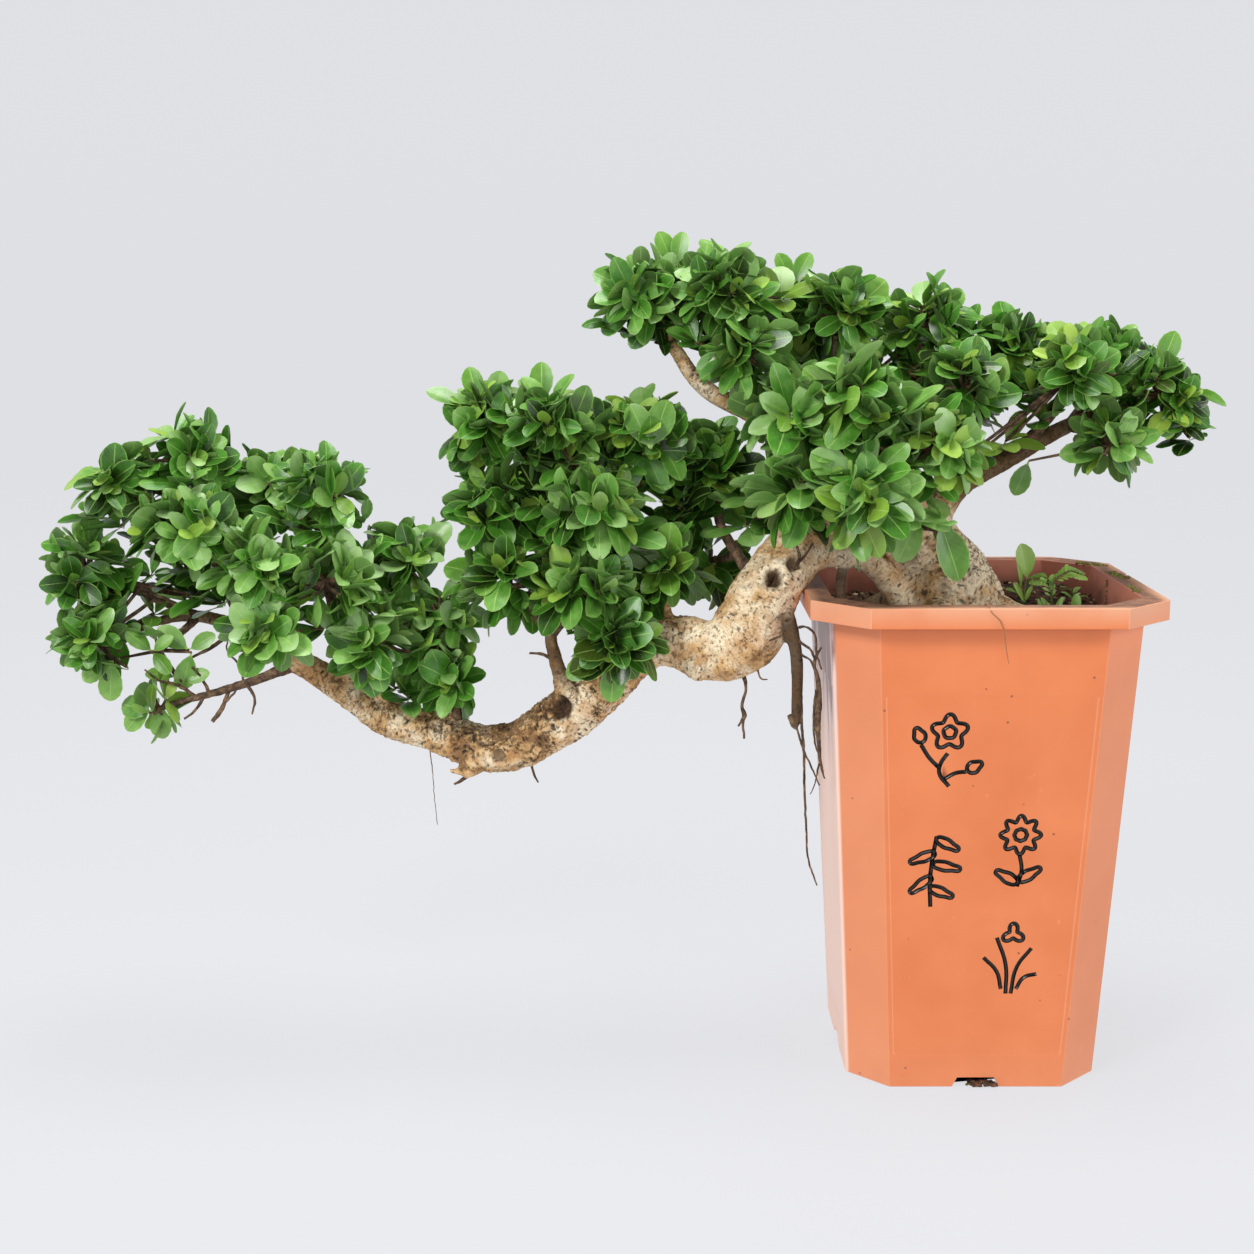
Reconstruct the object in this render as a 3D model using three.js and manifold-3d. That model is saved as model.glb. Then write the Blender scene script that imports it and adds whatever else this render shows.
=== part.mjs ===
// A cascade ficus bonsai in a tall square training pot. Millimetres, +Z up.
// The tree is drawn round the pot's own centre, and the finished group is then moved so that
// its origin lies on the table under the middle of the whole plant.

import * as THREE from 'three';
import { mergeGeometries, mergeVertices } from 'three/addons/utils/BufferGeometryUtils.js';
import Module from 'manifold-3d';

const wasm = await Module();
wasm.setup();

// The middle of the whole plant's reach, as seen from above and measured from the pot's centre
const REACH_MIDDLE_X = -288;
const REACH_MIDDLE_Y = -5;

// Clearance kept between two pieces that touch
const SEAT_GAP = 0.35;

// Pot: half widths are across the flats, and a cut is the length of a cut corner along one side
const POT_HEIGHT = 400;
const FOOT_HALF = 102;
const FOOT_CUT = 32;
const NECK_HALF = 123;
const NECK_CUT = 34;
const RIM_HALF = 140;
const RIM_CUT = 42;
const RIM_DEPTH = 16;
const RIM_EDGE = 2;
const MOUTH_HALF = 121.5;
const MOUTH_CUT = 36.5;
const NECK = POT_HEIGHT - RIM_DEPTH;
const WALL = 4;
const LIP_THICKNESS = 4.5;
const COLLAR_FLARE = 2;
const FLOOR_UNDERSIDE = 9;
const FLOOR_TOP = 13;
const FOOT_WIDTH = 7;
const NOTCH_HALF_WIDTH = 23;
const NOTCH_HEIGHT = 8;
const DRAIN_RADIUS = 8;
const DRAIN_SPREAD = 52;
const DRAINS_ROUND_MIDDLE = 4;

// Soil: its surface lies below the rim and swells up round the trunk
const SOIL_LEVEL = 369;
const SOIL_MOUND = 9;
const SOIL_MOUND_RADIUS = 75;
const TRUNK_FOOT_X = -15;
const SOIL_CRUMB = 2.2;
const SOIL_CELLS = 5;

// Wood: thick limbs get more sides, closer rings and deeper lumps than thin ones
const TRUNK_WOOD = { sides: 10, ringSpacing: 28, lumps: 0.07 };
const LIMB_WOOD = { sides: 6, ringSpacing: 44, lumps: 0.03 };
const BRANCH_WOOD = { sides: 5, ringSpacing: 44, lumps: 0.03 };
const TWIG_WOOD = { sides: 4, ringSpacing: 44, lumps: 0.03 };
const TRUNK_RADIUS = 30;
const LIMB_RADIUS = 13;
const BRANCH_RADIUS = 6;

// Leaves: obovate blades with a blunt tip, set in whorls round the ends of the twigs
const LEAF_LENGTH = 39;
const LEAF_WIDTH = 21;
const BLADES_PER_WHORL = 5;
const BLADE_DROOP = 2;
const WHORL_DEPTH = 19;
const WHORL_HEART = 6.4;
const WHORL_THICKNESS = 3.5;
const FEWEST_BLADES = 3;
const WHORL_LIFT = 0.3;
const STEEPEST_AXIS = 0.95;
const LEAST_LEAN = 0.95;
const LEAN_RANGE = 0.3;
const LEAST_BLADE = 0.85;
const BLADE_RANGE = 0.22;

// Sprays: a large one has six twigs in its core, and a small one has four
const LARGE_SPRAY = 39.5;
const LARGE_CORE_TILT = 0.3;
const TETRAHEDRON_TILT = -0.955;
const FULL_TURN = 6.28;
const LEAST_DROP = 10;
const TWIG_TIP = 3;

// The outer edge of a blade as [share of its length, share of its half width, droop in mm]
const BLADE_EDGE = [
  [0.58, -1, BLADE_DROOP],
  [0.93, -0.55, BLADE_DROOP * 1.4],
  [0.93, 0.55, BLADE_DROOP * 1.4],
  [0.58, 1, BLADE_DROOP],
];

const bark = new THREE.MeshStandardMaterial({ color: 0xb39a78, roughness: 0.85, metalness: 0 });
const leaf = new THREE.MeshStandardMaterial({ color: 0x3c7a35, roughness: 0.4, metalness: 0 });
const freshLeaf = new THREE.MeshStandardMaterial({ color: 0x7bbb3c, roughness: 0.45, metalness: 0 });
const earth = new THREE.MeshStandardMaterial({ color: 0x3a2a20, roughness: 1, metalness: 0 });
const terracotta = new THREE.MeshStandardMaterial({ color: 0xdd8860, roughness: 0.5, metalness: 0 });

// Every length of wood is a row of [x, y, z, radius], from where it grows to its tip
const MAIN_WOOD = [
  // The trunk leaves the soil, arches over the rim and falls to the left as one long limb
  [[-8, 0, 322, 46], [-17, 0, 381, 47], [-38, 0, 420, 40], [-63, -3, 446, 35], [-92, -9, 456, 32],
    [-122, -18, 448, 27], [-148, -28, 425, 26], [-173, -40, 391, 29], [-189, -45, 361, 33],
    [-213, -45, 346, 28], [-240, -42, 352, 23], [-262, -40, 353, 22], [-295, -35, 326, 23],
    [-338, -30, 288, 23], [-384, -25, 263, 21], [-438, -20, 275, 18], [-481, -15, 289, 17],
    [-519, -10, 311, 13], [-553, -5, 331, 11], [-584, 2, 342, 8]],
  // Roots: over the rim, into the pot, spreading in the soil, and hanging free beside the pot
  [[-148, -42, 414, 11], [-125, -42, 426, 10], [-95, -38, 424, 10], [-68, -32, 400, 10],
    [-50, -24, 368, 9]],
  [[-108, -40, 422, 5], [-112, -52, 400, 4.4], [-104, -58, 362, 4]],
  [[-5, -12, 384, 20], [35, -28, 377, 9], [62, -45, 371, 5], [82, -60, 364, 3]],
  [[-5, 18, 384, 20], [28, 50, 375, 8], [48, 74, 366, 4]],
  [[-28, -22, 384, 18], [-34, -62, 375, 8], [-26, -90, 365, 4]],
  [[-36, 12, 386, 18], [-74, 38, 374, 7], [-94, 56, 364, 4]],
  [[-160, -54, 392, 8], [-149, -60, 361, 5.6], [-146, -60, 291, 4.6], [-140, -65, 225, 2.6],
    [-128, -70, 160, 1.2]],
  [[-190, -50, 335, 5], [-188, -58, 305, 1.8], [-187, -60, 280, 1.3]],
  [[-398, -25, 258, 9], [-415, -32, 246, 4], [-430, -34, 247, 2]],
];

// Every spray of leaves: the branch that carries it, its centre, and its reach along x, y and z
const SPRAYS = {
  crown_left: [
    { wood: [[-90, -5, 450, 18], [-98, 0, 483, 16], [-142, -10, 521, 11], [-183, -10, 540, 9],
      [-220, -10, 559, 7.3], [-244, -5, 590, 6]], centre: [-268, -5, 629], reach: [39, 38, 40] },
    { wood: [[-183, -10, 540, 6], [-196, -20, 585, 5]], centre: [-205, -25, 633], reach: [44, 40, 40] },
    { wood: [[-142, -10, 521, 7], [-146, 20, 565, 5]], centre: [-147, 45, 612], reach: [42, 40, 40] },
    { wood: [[-183, -10, 540, 5], [-187, -35, 566, 4]], centre: [-186, -45, 587], reach: [36, 34, 30] },
    { wood: [[-98, 0, 483, 8], [-112, -8, 545, 5.5]], centre: [-116, -15, 617], reach: [38, 38, 40] },
  ],
  crown_top: [
    { wood: [[-80, -2, 455, 20], [-66, 6, 492, 12], [-56, 12, 540, 8]],
      centre: [-39, 20, 608], reach: [41, 40, 39] },
    { wood: [[-66, 6, 492, 6], [-44, -20, 540, 4.5]], centre: [-20, -45, 563], reach: [36, 36, 36] },
    { wood: [[-56, 12, 540, 6], [-10, 28, 568, 4.5]], centre: [34, 35, 584], reach: [40, 38, 37] },
  ],
  right_tier: [
    { wood: [[34, 20, 500, 6], [66, 2, 540, 4.2]], centre: [77, -15, 574], reach: [36, 38, 38] },
    { wood: [[83, 25, 526, 5], [106, 40, 555, 4]], centre: [121, 50, 579], reach: [38, 38, 38] },
    { wood: [[-40, 5, 440, 20], [-10, 14, 478, 13], [34, 20, 500, 8.5], [83, 25, 526, 6.6],
      [118, 18, 540, 5]], centre: [151, 0, 553], reach: [44, 42, 42] },
    { wood: [[83, 25, 526, 5], [98, -2, 520, 3.6]], centre: [107, -20, 514], reach: [31, 32, 28] },
  ],
  front_tier: [
    { wood: [[-98, -72, 505, 5], [-130, -70, 522, 4]], centre: [-155, -65, 541], reach: [38, 38, 35] },
    { wood: [[-85, -15, 455, 14], [-95, -50, 482, 9], [-98, -72, 505, 6.5]],
      centre: [-103, -85, 554], reach: [39, 38, 36] },
    { wood: [[-98, -72, 505, 5], [-68, -76, 512, 4]], centre: [-43, -75, 518], reach: [43, 40, 37] },
    { wood: [[-95, -50, 482, 5.5], [-125, -75, 484, 4]], centre: [-148, -85, 484], reach: [37, 36, 35] },
    { wood: [[-95, -50, 482, 5.5], [-97, -85, 480, 4]], centre: [-96, -105, 479], reach: [37, 38, 37] },
    { wood: [[-95, -50, 482, 5.5], [-62, -80, 462, 4]], centre: [-44, -95, 454], reach: [33, 34, 33] },
  ],
  back_tier: [
    { wood: [[-66, 6, 492, 8], [-74, 38, 505, 6]], centre: [-77, 60, 528], reach: [42, 40, 38] },
    { wood: [[-74, 38, 505, 5.5], [-35, 60, 528, 4.6]], centre: [2, 80, 544], reach: [38, 38, 38] },
  ],
  middle_tier: [
    { wood: [[-312, -26, 490, 4.4], [-360, -14, 512, 4]], centre: [-402, -5, 529], reach: [38, 38, 41] },
    { wood: [[-278, -20, 415, 6.4], [-312, -26, 490, 4.8]], centre: [-344, -35, 531], reach: [40, 38, 38] },
    { wood: [[-264, -38, 356, 11], [-278, -20, 415, 7.5], [-276, -8, 470, 5.5]],
      centre: [-272, -5, 516], reach: [45, 42, 41] },
    { wood: [[-326, -36, 298, 11], [-332, -50, 318, 8], [-340, -52, 343, 6], [-344, -50, 363, 5.4],
      [-335, -52, 410, 5]], centre: [-312, -60, 466], reach: [46, 42, 40] },
    { wood: [[-335, -52, 410, 5], [-362, -34, 440, 4.2]], centre: [-386, -20, 461], reach: [41, 40, 41] },
    { wood: [[-344, -50, 363, 4.6], [-362, -48, 385, 4]], centre: [-377, -45, 403], reach: [39, 38, 36] },
    { wood: [[-344, -50, 363, 4.6], [-326, -62, 386, 4]], centre: [-312, -70, 403], reach: [40, 38, 34] },
    { wood: [[-252, -40, 356, 9], [-252, -38, 390, 5]], centre: [-252, -35, 414], reach: [36, 36, 36] },
    { wood: [[-176, -32, 402, 7], [-192, -12, 423, 5], [-207, 0, 450, 4.2]],
      centre: [-210, 25, 489], reach: [37, 38, 46] },
    { wood: [[-192, -12, 423, 4.4], [-204, 15, 416, 3.4]], centre: [-213, 35, 412], reach: [31, 34, 34] },
    { wood: [[-286, -38, 332, 10], [-288, -62, 350, 5]], centre: [-288, -80, 365], reach: [30, 30, 28] },
    { wood: [[-278, -20, 415, 6], [-305, 15, 448, 4.8]], centre: [-331, 50, 478], reach: [42, 40, 42] },
  ],
  end_tier: [
    { wood: [[-600, 18, 352, 6.6], [-622, 12, 410, 6], [-638, 4, 465, 5]],
      centre: [-644, 0, 504], reach: [38, 38, 39] },
    { wood: [[-638, 4, 465, 4.6], [-670, -3, 476, 4]], centre: [-696, -10, 484], reach: [36, 36, 37] },
    { wood: [[-622, 12, 410, 4.6], [-629, -20, 432, 4]], centre: [-634, -55, 449], reach: [44, 40, 36] },
    { wood: [[-643, 22, 366, 4.6], [-690, 8, 390, 4]], centre: [-729, -5, 410], reach: [36, 38, 37] },
    { wood: [[-576, 0, 340, 8], [-600, 18, 352, 7], [-643, 22, 366, 5.5], [-685, 5, 362, 4]],
      centre: [-720, -20, 354], reach: [41, 38, 34] },
    { wood: [[-622, 12, 410, 4.6], [-631, 34, 440, 4]], centre: [-636, 50, 461], reach: [38, 38, 38] },
    { wood: [[-527, -6, 420, 5], [-558, 10, 450, 4.2]], centre: [-584, 25, 472], reach: [36, 38, 37] },
    { wood: [[-512, -11, 306, 11], [-520, -8, 360, 8], [-527, -6, 420, 6]],
      centre: [-530, -5, 472], reach: [40, 40, 41] },
    { wood: [[-556, -38, 350, 4.6], [-566, -50, 388, 4]], centre: [-574, -60, 418], reach: [40, 38, 36] },
    { wood: [[-520, -8, 360, 5.5], [-523, -32, 388, 4.4]], centre: [-525, -50, 408], reach: [38, 38, 36] },
    { wood: [[-436, -12, 325, 5], [-452, 4, 375, 4.4]], centre: [-468, 15, 415], reach: [42, 40, 40] },
    { wood: [[-550, -5, 329, 9], [-556, -38, 350, 5]], centre: [-562, -70, 371], reach: [38, 36, 31] },
    { wood: [[-484, -15, 292, 9], [-488, -32, 330, 5]], centre: [-490, -45, 358], reach: [36, 36, 36] },
    { wood: [[-430, -20, 276, 9], [-436, -12, 325, 5.5]], centre: [-437, -5, 368], reach: [41, 38, 41] },
    { wood: [[-424, -21, 276, 7], [-424, -20, 304, 4]], centre: [-424, -20, 322], reach: [34, 32, 28] },
    { wood: [[-643, 22, 366, 4.2], [-658, 2, 352, 3.4]], centre: [-668, -15, 344], reach: [38, 34, 29] },
    { wood: [[-556, -5, 332, 7], [-580, -10, 322, 4.6], [-615, -15, 311, 3.8], [-654, -20, 301, 3]],
      centre: [-669, -20, 296], reach: [29, 28, 27] },
  ],
};

// Weeds that came up in the soil: a broad-leaved seedling and two low tufts
const WEEDS = {
  seedling: { stem: [[53, 21, 350, 1.5], [52, 20, 380, 1.5], [50, 20, 404, 1.5]], scale: 0.8, leaves: 2 },
  weed_tuft_1: { stem: [[74, 6, 350, 1.3], [73, 5, 386, 1.3]], scale: 0.42, leaves: 5 },
  weed_tuft_2: { stem: [[94, 26, 350, 1.3], [93, 27, 384, 1.3]], scale: 0.46, leaves: 5 },
};

// A repeatable number from 0 to 1 for one leaf, so that every copy of the rule agrees
function chance(spray, whorl, blade, use) {
  const wave = Math.sin(spray * 127.1 + whorl * 311.7 + blade * 74.7 + use * 19.3) * 43758.5453;
  return wave - Math.floor(wave);
}

function solidFrom(geometry) {
  geometry.deleteAttribute('normal');
  geometry.deleteAttribute('uv');
  const merged = mergeVertices(geometry, 1e-4);
  const mesh = new wasm.Mesh({
    numProp: 3,
    vertProperties: new Float32Array(merged.attributes.position.array),
    triVerts: new Uint32Array(merged.index.array),
  });
  return new wasm.Manifold(mesh);
}

function meshFrom(name, solid, material) {
  const { vertProperties, triVerts } = solid.getMesh();
  const geometry = new THREE.BufferGeometry();
  geometry.setAttribute('position', new THREE.BufferAttribute(vertProperties, 3));
  geometry.setIndex(new THREE.BufferAttribute(triVerts, 1));
  geometry.computeVertexNormals();
  const mesh = new THREE.Mesh(geometry, material);
  mesh.name = name;
  return mesh;
}

function largestBody(solid) {
  const bodies = solid.decompose();
  return bodies.reduce((best, body) => (body.volume() > best.volume() ? body : best));
}

function moveVertices(geometry, place) {
  const position = geometry.attributes.position;
  const vertex = new THREE.Vector3();
  for (let i = 0; i < position.count; i += 1) {
    vertex.fromBufferAttribute(position, i);
    place(vertex);
    position.setXYZ(i, vertex.x, vertex.y, vertex.z);
  }
  return geometry;
}

// A square outline with its four corners cut off
function cutSquare(half, cut) {
  const flat = half - cut;
  const corners = [
    [half, -flat], [half, flat], [flat, half], [-flat, half],
    [-half, flat], [-half, -flat], [-flat, -half], [flat, -half],
  ];
  return new THREE.Shape(corners.map(([x, y]) => new THREE.Vector2(x, y)));
}

// A prism between two such outlines, level by level: each level is [z, half, cut]
function potBlock([low, half, cut], [high, topHalf, topCut]) {
  const depth = high - low;
  const block = new THREE.ExtrudeGeometry(cutSquare(half, cut), { depth, bevelEnabled: false });
  const widened = (value) => {
    const atFlat = Math.abs(Math.abs(value) - half) < 1e-3;
    return Math.sign(value) * (atFlat ? topHalf : topHalf - topCut);
  };
  moveVertices(block, (v) => {
    if (v.z > depth / 2) {
      v.x = widened(v.x);
      v.y = widened(v.y);
    }
    v.z += low;
  });
  return solidFrom(block);
}

// The pot's outer half width and corner cut at a height, moved in by an inset
function wallLevel(z, inset) {
  const share = z / NECK;
  return [z, FOOT_HALF + (NECK_HALF - FOOT_HALF) * share - inset,
    FOOT_CUT + (NECK_CUT - FOOT_CUT) * share - inset * (2 - Math.SQRT2)];
}

function rimBlock(grow) {
  const top = POT_HEIGHT + grow;
  const skirt = potBlock(
    [NECK - grow, RIM_HALF - RIM_EDGE + grow, RIM_CUT],
    [NECK + RIM_EDGE, RIM_HALF + grow, RIM_CUT],
  );
  const band = potBlock(
    [NECK + RIM_EDGE, RIM_HALF + grow, RIM_CUT],
    [top - RIM_EDGE, RIM_HALF + grow, RIM_CUT],
  );
  const edge = potBlock(
    [top - RIM_EDGE, RIM_HALF + grow, RIM_CUT],
    [top, RIM_HALF - RIM_EDGE + grow, RIM_CUT],
  );
  return skirt.add(band).add(edge);
}

// The room inside the pot, from its floor up through the mouth, moved in by an inset
function potRoom(inset) {
  const neck = wallLevel(NECK, WALL + inset);
  const shaft = potBlock(wallLevel(FLOOR_TOP + inset, WALL + inset), neck);
  const mouth = potBlock(neck, [POT_HEIGHT + 1, MOUTH_HALF - inset, MOUTH_CUT - inset]);
  return shaft.add(mouth);
}

// A short bar across the pot's foot, sloped at both ends, which cuts two opposite notches
function footNotches(turn) {
  const shape = new THREE.Shape();
  shape.moveTo(-NOTCH_HALF_WIDTH, -1);
  shape.lineTo(NOTCH_HALF_WIDTH, -1);
  shape.lineTo(NOTCH_HALF_WIDTH - NOTCH_HEIGHT, NOTCH_HEIGHT);
  shape.lineTo(NOTCH_HEIGHT - NOTCH_HALF_WIDTH, NOTCH_HEIGHT);
  const bar = new THREE.ExtrudeGeometry(shape, { depth: 3 * FOOT_HALF, bevelEnabled: false });
  bar.translate(0, 0, -1.5 * FOOT_HALF);
  bar.rotateX(Math.PI / 2);
  bar.rotateZ(turn);
  return solidFrom(bar);
}

function drainHole(x, y) {
  const hole = new THREE.CylinderGeometry(DRAIN_RADIUS, DRAIN_RADIUS, 2 * FLOOR_TOP, 8);
  hole.rotateX(Math.PI / 2);
  hole.translate(x, y, FLOOR_TOP);
  return solidFrom(hole);
}

// The rim is a turned-down lip, and the collar is the stretch of wall that stands up inside it
function buildPot() {
  const lipInside = [RIM_HALF - WALL, RIM_CUT - WALL / 2];
  const collarTop = [POT_HEIGHT - 1, NECK_HALF + COLLAR_FLARE, NECK_CUT];
  const collar = potBlock([NECK - 1, NECK_HALF, NECK_CUT], collarTop);
  const underRim = potBlock([NECK - 2, ...lipInside], [POT_HEIGHT - LIP_THICKNESS, ...lipInside]);
  const footInside = [FOOT_HALF - FOOT_WIDTH, FOOT_CUT - FOOT_WIDTH / 2];
  const underFloor = potBlock([-1, ...footInside], [FLOOR_UNDERSIDE, ...footInside]);
  let pot = potBlock(wallLevel(0, 0), wallLevel(NECK, 0))
    .add(rimBlock(0).subtract(underRim))
    .add(collar)
    .subtract(potRoom(0))
    .subtract(underFloor)
    .subtract(footNotches(0))
    .subtract(footNotches(Math.PI / 2))
    .subtract(drainHole(0, 0));
  for (let i = 0; i < DRAINS_ROUND_MIDDLE; i += 1) {
    const angle = Math.PI / 4 + (2 * Math.PI * i) / DRAINS_ROUND_MIDDLE;
    pot = pot.subtract(drainHole(DRAIN_SPREAD * Math.cos(angle), DRAIN_SPREAD * Math.sin(angle)));
  }
  return pot;
}

function woodKind(thickest) {
  if (thickest > TRUNK_RADIUS) return TRUNK_WOOD;
  if (thickest > LIMB_RADIUS) return LIMB_WOOD;
  return thickest > BRANCH_RADIUS ? BRANCH_WOOD : TWIG_WOOD;
}

// The swelling of the bark at a turn round a limb and at a distance along it
function swelling(turn, along) {
  return Math.sin(2 * turn + along / 21) + 0.7 * Math.sin(3 * turn - along / 13 + 1);
}

// A tapered, slightly lumpy tube along a smooth curve through a limb's points
function buildLimb(points, grow) {
  const curve = new THREE.CatmullRomCurve3(points.map(([x, y, z]) => new THREE.Vector3(x, y, z)));
  const radii = points.map(([, , , radius]) => radius);
  const { sides, ringSpacing, lumps } = woodKind(Math.max(...radii));
  const length = curve.getLength();
  const rings = Math.max(2, Math.round(length / ringSpacing));
  const frames = curve.computeFrenetFrames(rings, false);
  const tube = new THREE.CylinderGeometry(1, 1, 1, sides, rings);
  moveVertices(tube, (v) => {
    const ring = Math.round((v.y + 0.5) * rings);
    const along = (ring / rings) * length;
    const spot = curve.getUtoTmapping(ring / rings) * (radii.length - 1);
    const before = Math.min(Math.floor(spot), radii.length - 2);
    const radius = THREE.MathUtils.lerp(radii[before], radii[before + 1], spot - before);
    const turn = Math.atan2(v.z, v.x);
    const swollen = radius * (1 + lumps * swelling(turn, along));
    const reach = Math.hypot(v.x, v.z) * (swollen + grow);
    const end = grow * (Number(ring === rings) - Number(ring === 0));
    const side = frames.normals[ring].clone().multiplyScalar(Math.cos(turn) * reach);
    const across = frames.binormals[ring].clone().multiplyScalar(-Math.sin(turn) * reach);
    const tip = frames.tangents[ring].clone().multiplyScalar(end);
    v.copy(curve.getPointAt(ring / rings)).add(side).add(across).add(tip);
  });
  return solidFrom(tube);
}

function buildTrunk(limbs, grow) {
  return wasm.Manifold.union(limbs.map((points) => buildLimb(points, grow)));
}

function buildSoil() {
  const width = 2 * MOUTH_HALF;
  const block = new THREE.BoxGeometry(width, width, SOIL_LEVEL, SOIL_CELLS, SOIL_CELLS, 1);
  block.translate(0, 0, SOIL_LEVEL / 2);
  moveVertices(block, (v) => {
    if (v.z > SOIL_LEVEL / 2) {
      const fromTrunk = Math.hypot(v.x - TRUNK_FOOT_X, v.y) / SOIL_MOUND_RADIUS;
      const crumb = Math.sin(v.x * 0.19 + 2) * Math.cos(v.y * 0.23) + Math.sin(v.x * 0.07 - v.y * 0.11);
      v.z += SOIL_MOUND * Math.exp(-fromTrunk * fromTrunk) + SOIL_CRUMB * crumb;
    }
  });
  return solidFrom(block).intersect(potRoom(SEAT_GAP));
}

// The corners of a spray's core, each the end of a twig that carries one whorl. A large spray has
// the corners of an octahedron but the lowest, and a small one those of a tetrahedron.
function sprayCore(number, { centre, reach }) {
  const large = Math.max(...reach) > LARGE_SPRAY;
  const core = large ? new THREE.OctahedronGeometry(1, 0) : new THREE.TetrahedronGeometry(1, 0);
  core.rotateX(large ? LARGE_CORE_TILT * (chance(number, 0, 0, 1) - 0.5) : TETRAHEDRON_TILT);
  core.rotateZ(FULL_TURN * chance(number, 0, 0, 2));
  const room = reach.map((size) => Math.max(size - WHORL_DEPTH, WHORL_DEPTH / 2));
  core.scale(...room);
  core.translate(...centre);
  return core;
}

function coreCorners(core, [, , height]) {
  const { position } = mergeVertices(core.deleteAttribute('normal').deleteAttribute('uv')).attributes;
  const corners = [];
  for (let i = 0; i < position.count; i += 1) {
    corners.push(new THREE.Vector3().fromBufferAttribute(position, i));
  }
  corners.sort((a, b) => b.z - a.z);
  const lowest = corners[corners.length - 1];
  return corners.length > 4 && lowest.z < height - LEAST_DROP ? corners.slice(0, -1) : corners;
}

// A whorl grows from a core corner, and its blades lean out round an axis that tips upwards
function planWhorl(number, index, corner, centre, scale = 1) {
  const axis = corner.clone().sub(new THREE.Vector3(...centre)).normalize();
  axis.z += WHORL_LIFT;
  axis.normalize();
  const steep = Math.abs(axis.z) > STEEPEST_AXIS;
  const level = new THREE.Vector3(Number(steep), 0, Number(!steep));
  const across = new THREE.Vector3().crossVectors(level, axis).normalize();
  const along = new THREE.Vector3().crossVectors(axis, across);
  const start = FULL_TURN * chance(number, index, 0, 3);
  const blades = [];
  for (let blade = 0; blade < BLADES_PER_WHORL; blade += 1) {
    const turn = start + (2 * Math.PI * blade) / BLADES_PER_WHORL;
    const lean = LEAST_LEAN + LEAN_RANGE * chance(number, index, blade, 4);
    const size = scale * (LEAST_BLADE + BLADE_RANGE * chance(number, index, blade, 5));
    blades.push({ turn, lean, length: LEAF_LENGTH * size, width: LEAF_WIDTH * size });
  }
  return { corner, axis, across, along, blades, scale };
}

// A whorl's places for a blade: each has the notch before it and, if kept, the blade's outline
function whorlPlaces({ corner, axis, across, along, blades, scale }, kept) {
  const aside = (turn) => (
    across.clone().multiplyScalar(Math.cos(turn)).addScaledVector(along, Math.sin(turn))
  );
  return blades.map((blade, i) => {
    const notch = corner.clone()
      .addScaledVector(aside(blade.turn - Math.PI / BLADES_PER_WHORL), WHORL_HEART * scale)
      .addScaledVector(axis, 1 - WHORL_THICKNESS * scale);
    if (!kept[i]) return { notch, outline: [] };
    const direction = aside(blade.turn)
      .multiplyScalar(Math.sin(blade.lean))
      .addScaledVector(axis, Math.cos(blade.lean));
    const side = aside(blade.turn + Math.PI / 2);
    const face = new THREE.Vector3().crossVectors(direction, side).normalize();
    const outline = BLADE_EDGE.map(([share, out, droop]) => (
      corner.clone()
        .addScaledVector(direction, share * blade.length)
        .addScaledVector(side, (out * blade.width) / 2)
        .addScaledVector(face, -droop * scale)
    ));
    return { notch, outline };
  });
}

// Triangles from the first point to each stretch between the others, facing up or down
function fan(points, facesUp) {
  const geometry = new THREE.BufferGeometry().setFromPoints(points);
  const index = [];
  for (let i = 1; i < points.length - 1; i += 1) {
    index.push(...(facesUp ? [0, i, i + 1] : [0, i + 1, i]));
  }
  return geometry.setIndex(index);
}

// A whorl's blades as one thin star: one fan over its heart above, and a fan under each blade
function buildWhorl(plan, kept) {
  const places = whorlPlaces(plan, kept);
  const notches = places.map(({ notch }) => notch);
  const edge = places.flatMap(({ notch, outline }) => [notch, ...outline]);
  const heart = plan.corner.clone().add(plan.axis);
  const fans = [fan([heart, ...edge, edge[0]], true), fan(notches, false)];
  places.forEach(({ notch, outline }, i) => {
    const next = notches[(i + 1) % notches.length];
    if (outline.length > 0) fans.push(fan([notch, ...outline, next], false));
  });
  return solidFrom(mergeGeometries(fans));
}

function meets(solid, others) {
  return others.some((other) => !solid.intersect(other).isEmpty());
}

// Joins to a core all the blades that stand clear of each other and of every other piece
function buildSpray(number, spray, core, obstacles) {
  const kept = [];
  coreCorners(sprayCore(number, spray), spray.centre).forEach((corner, index) => {
    const plan = planWhorl(number, index, corner, spray.centre);
    const clear = plan.blades.map((_, i) => {
      const alone = buildWhorl(plan, plan.blades.map((__, j) => i === j));
      return !meets(alone, obstacles) && !meets(alone, kept);
    });
    if (clear.filter(Boolean).length >= FEWEST_BLADES) kept.push(buildWhorl(plan, clear));
  });
  return largestBody(wasm.Manifold.union([core, ...kept]));
}

// A weed is one bare stem with a whorl of small leaves, of which only some places hold a leaf
function buildWeed({ stem, scale, leaves }, number) {
  const tip = new THREE.Vector3(...stem[stem.length - 1]);
  const below = [tip.x, tip.y, tip.z - 10];
  const plan = planWhorl(number, 0, tip, below, scale);
  const kept = plan.blades.map((_, i) => i < leaves);
  return buildLimb(stem, 0).add(buildWhorl(plan, kept));
}

function buildFoliage(sprays, trunkRoom, pot, soil) {
  const cores = sprays.map((spray, number) => (
    largestBody(solidFrom(sprayCore(number, spray)).subtract(trunkRoom))
  ));
  const finished = [];
  return sprays.map((spray, number) => {
    const others = cores.filter((_, i) => i !== number);
    const solid = buildSpray(number, spray, cores[number], [...others, ...finished, trunkRoom, pot, soil]);
    finished.push(solid);
    return meshFrom(spray.name, solid, leaf);
  });
}

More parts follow.
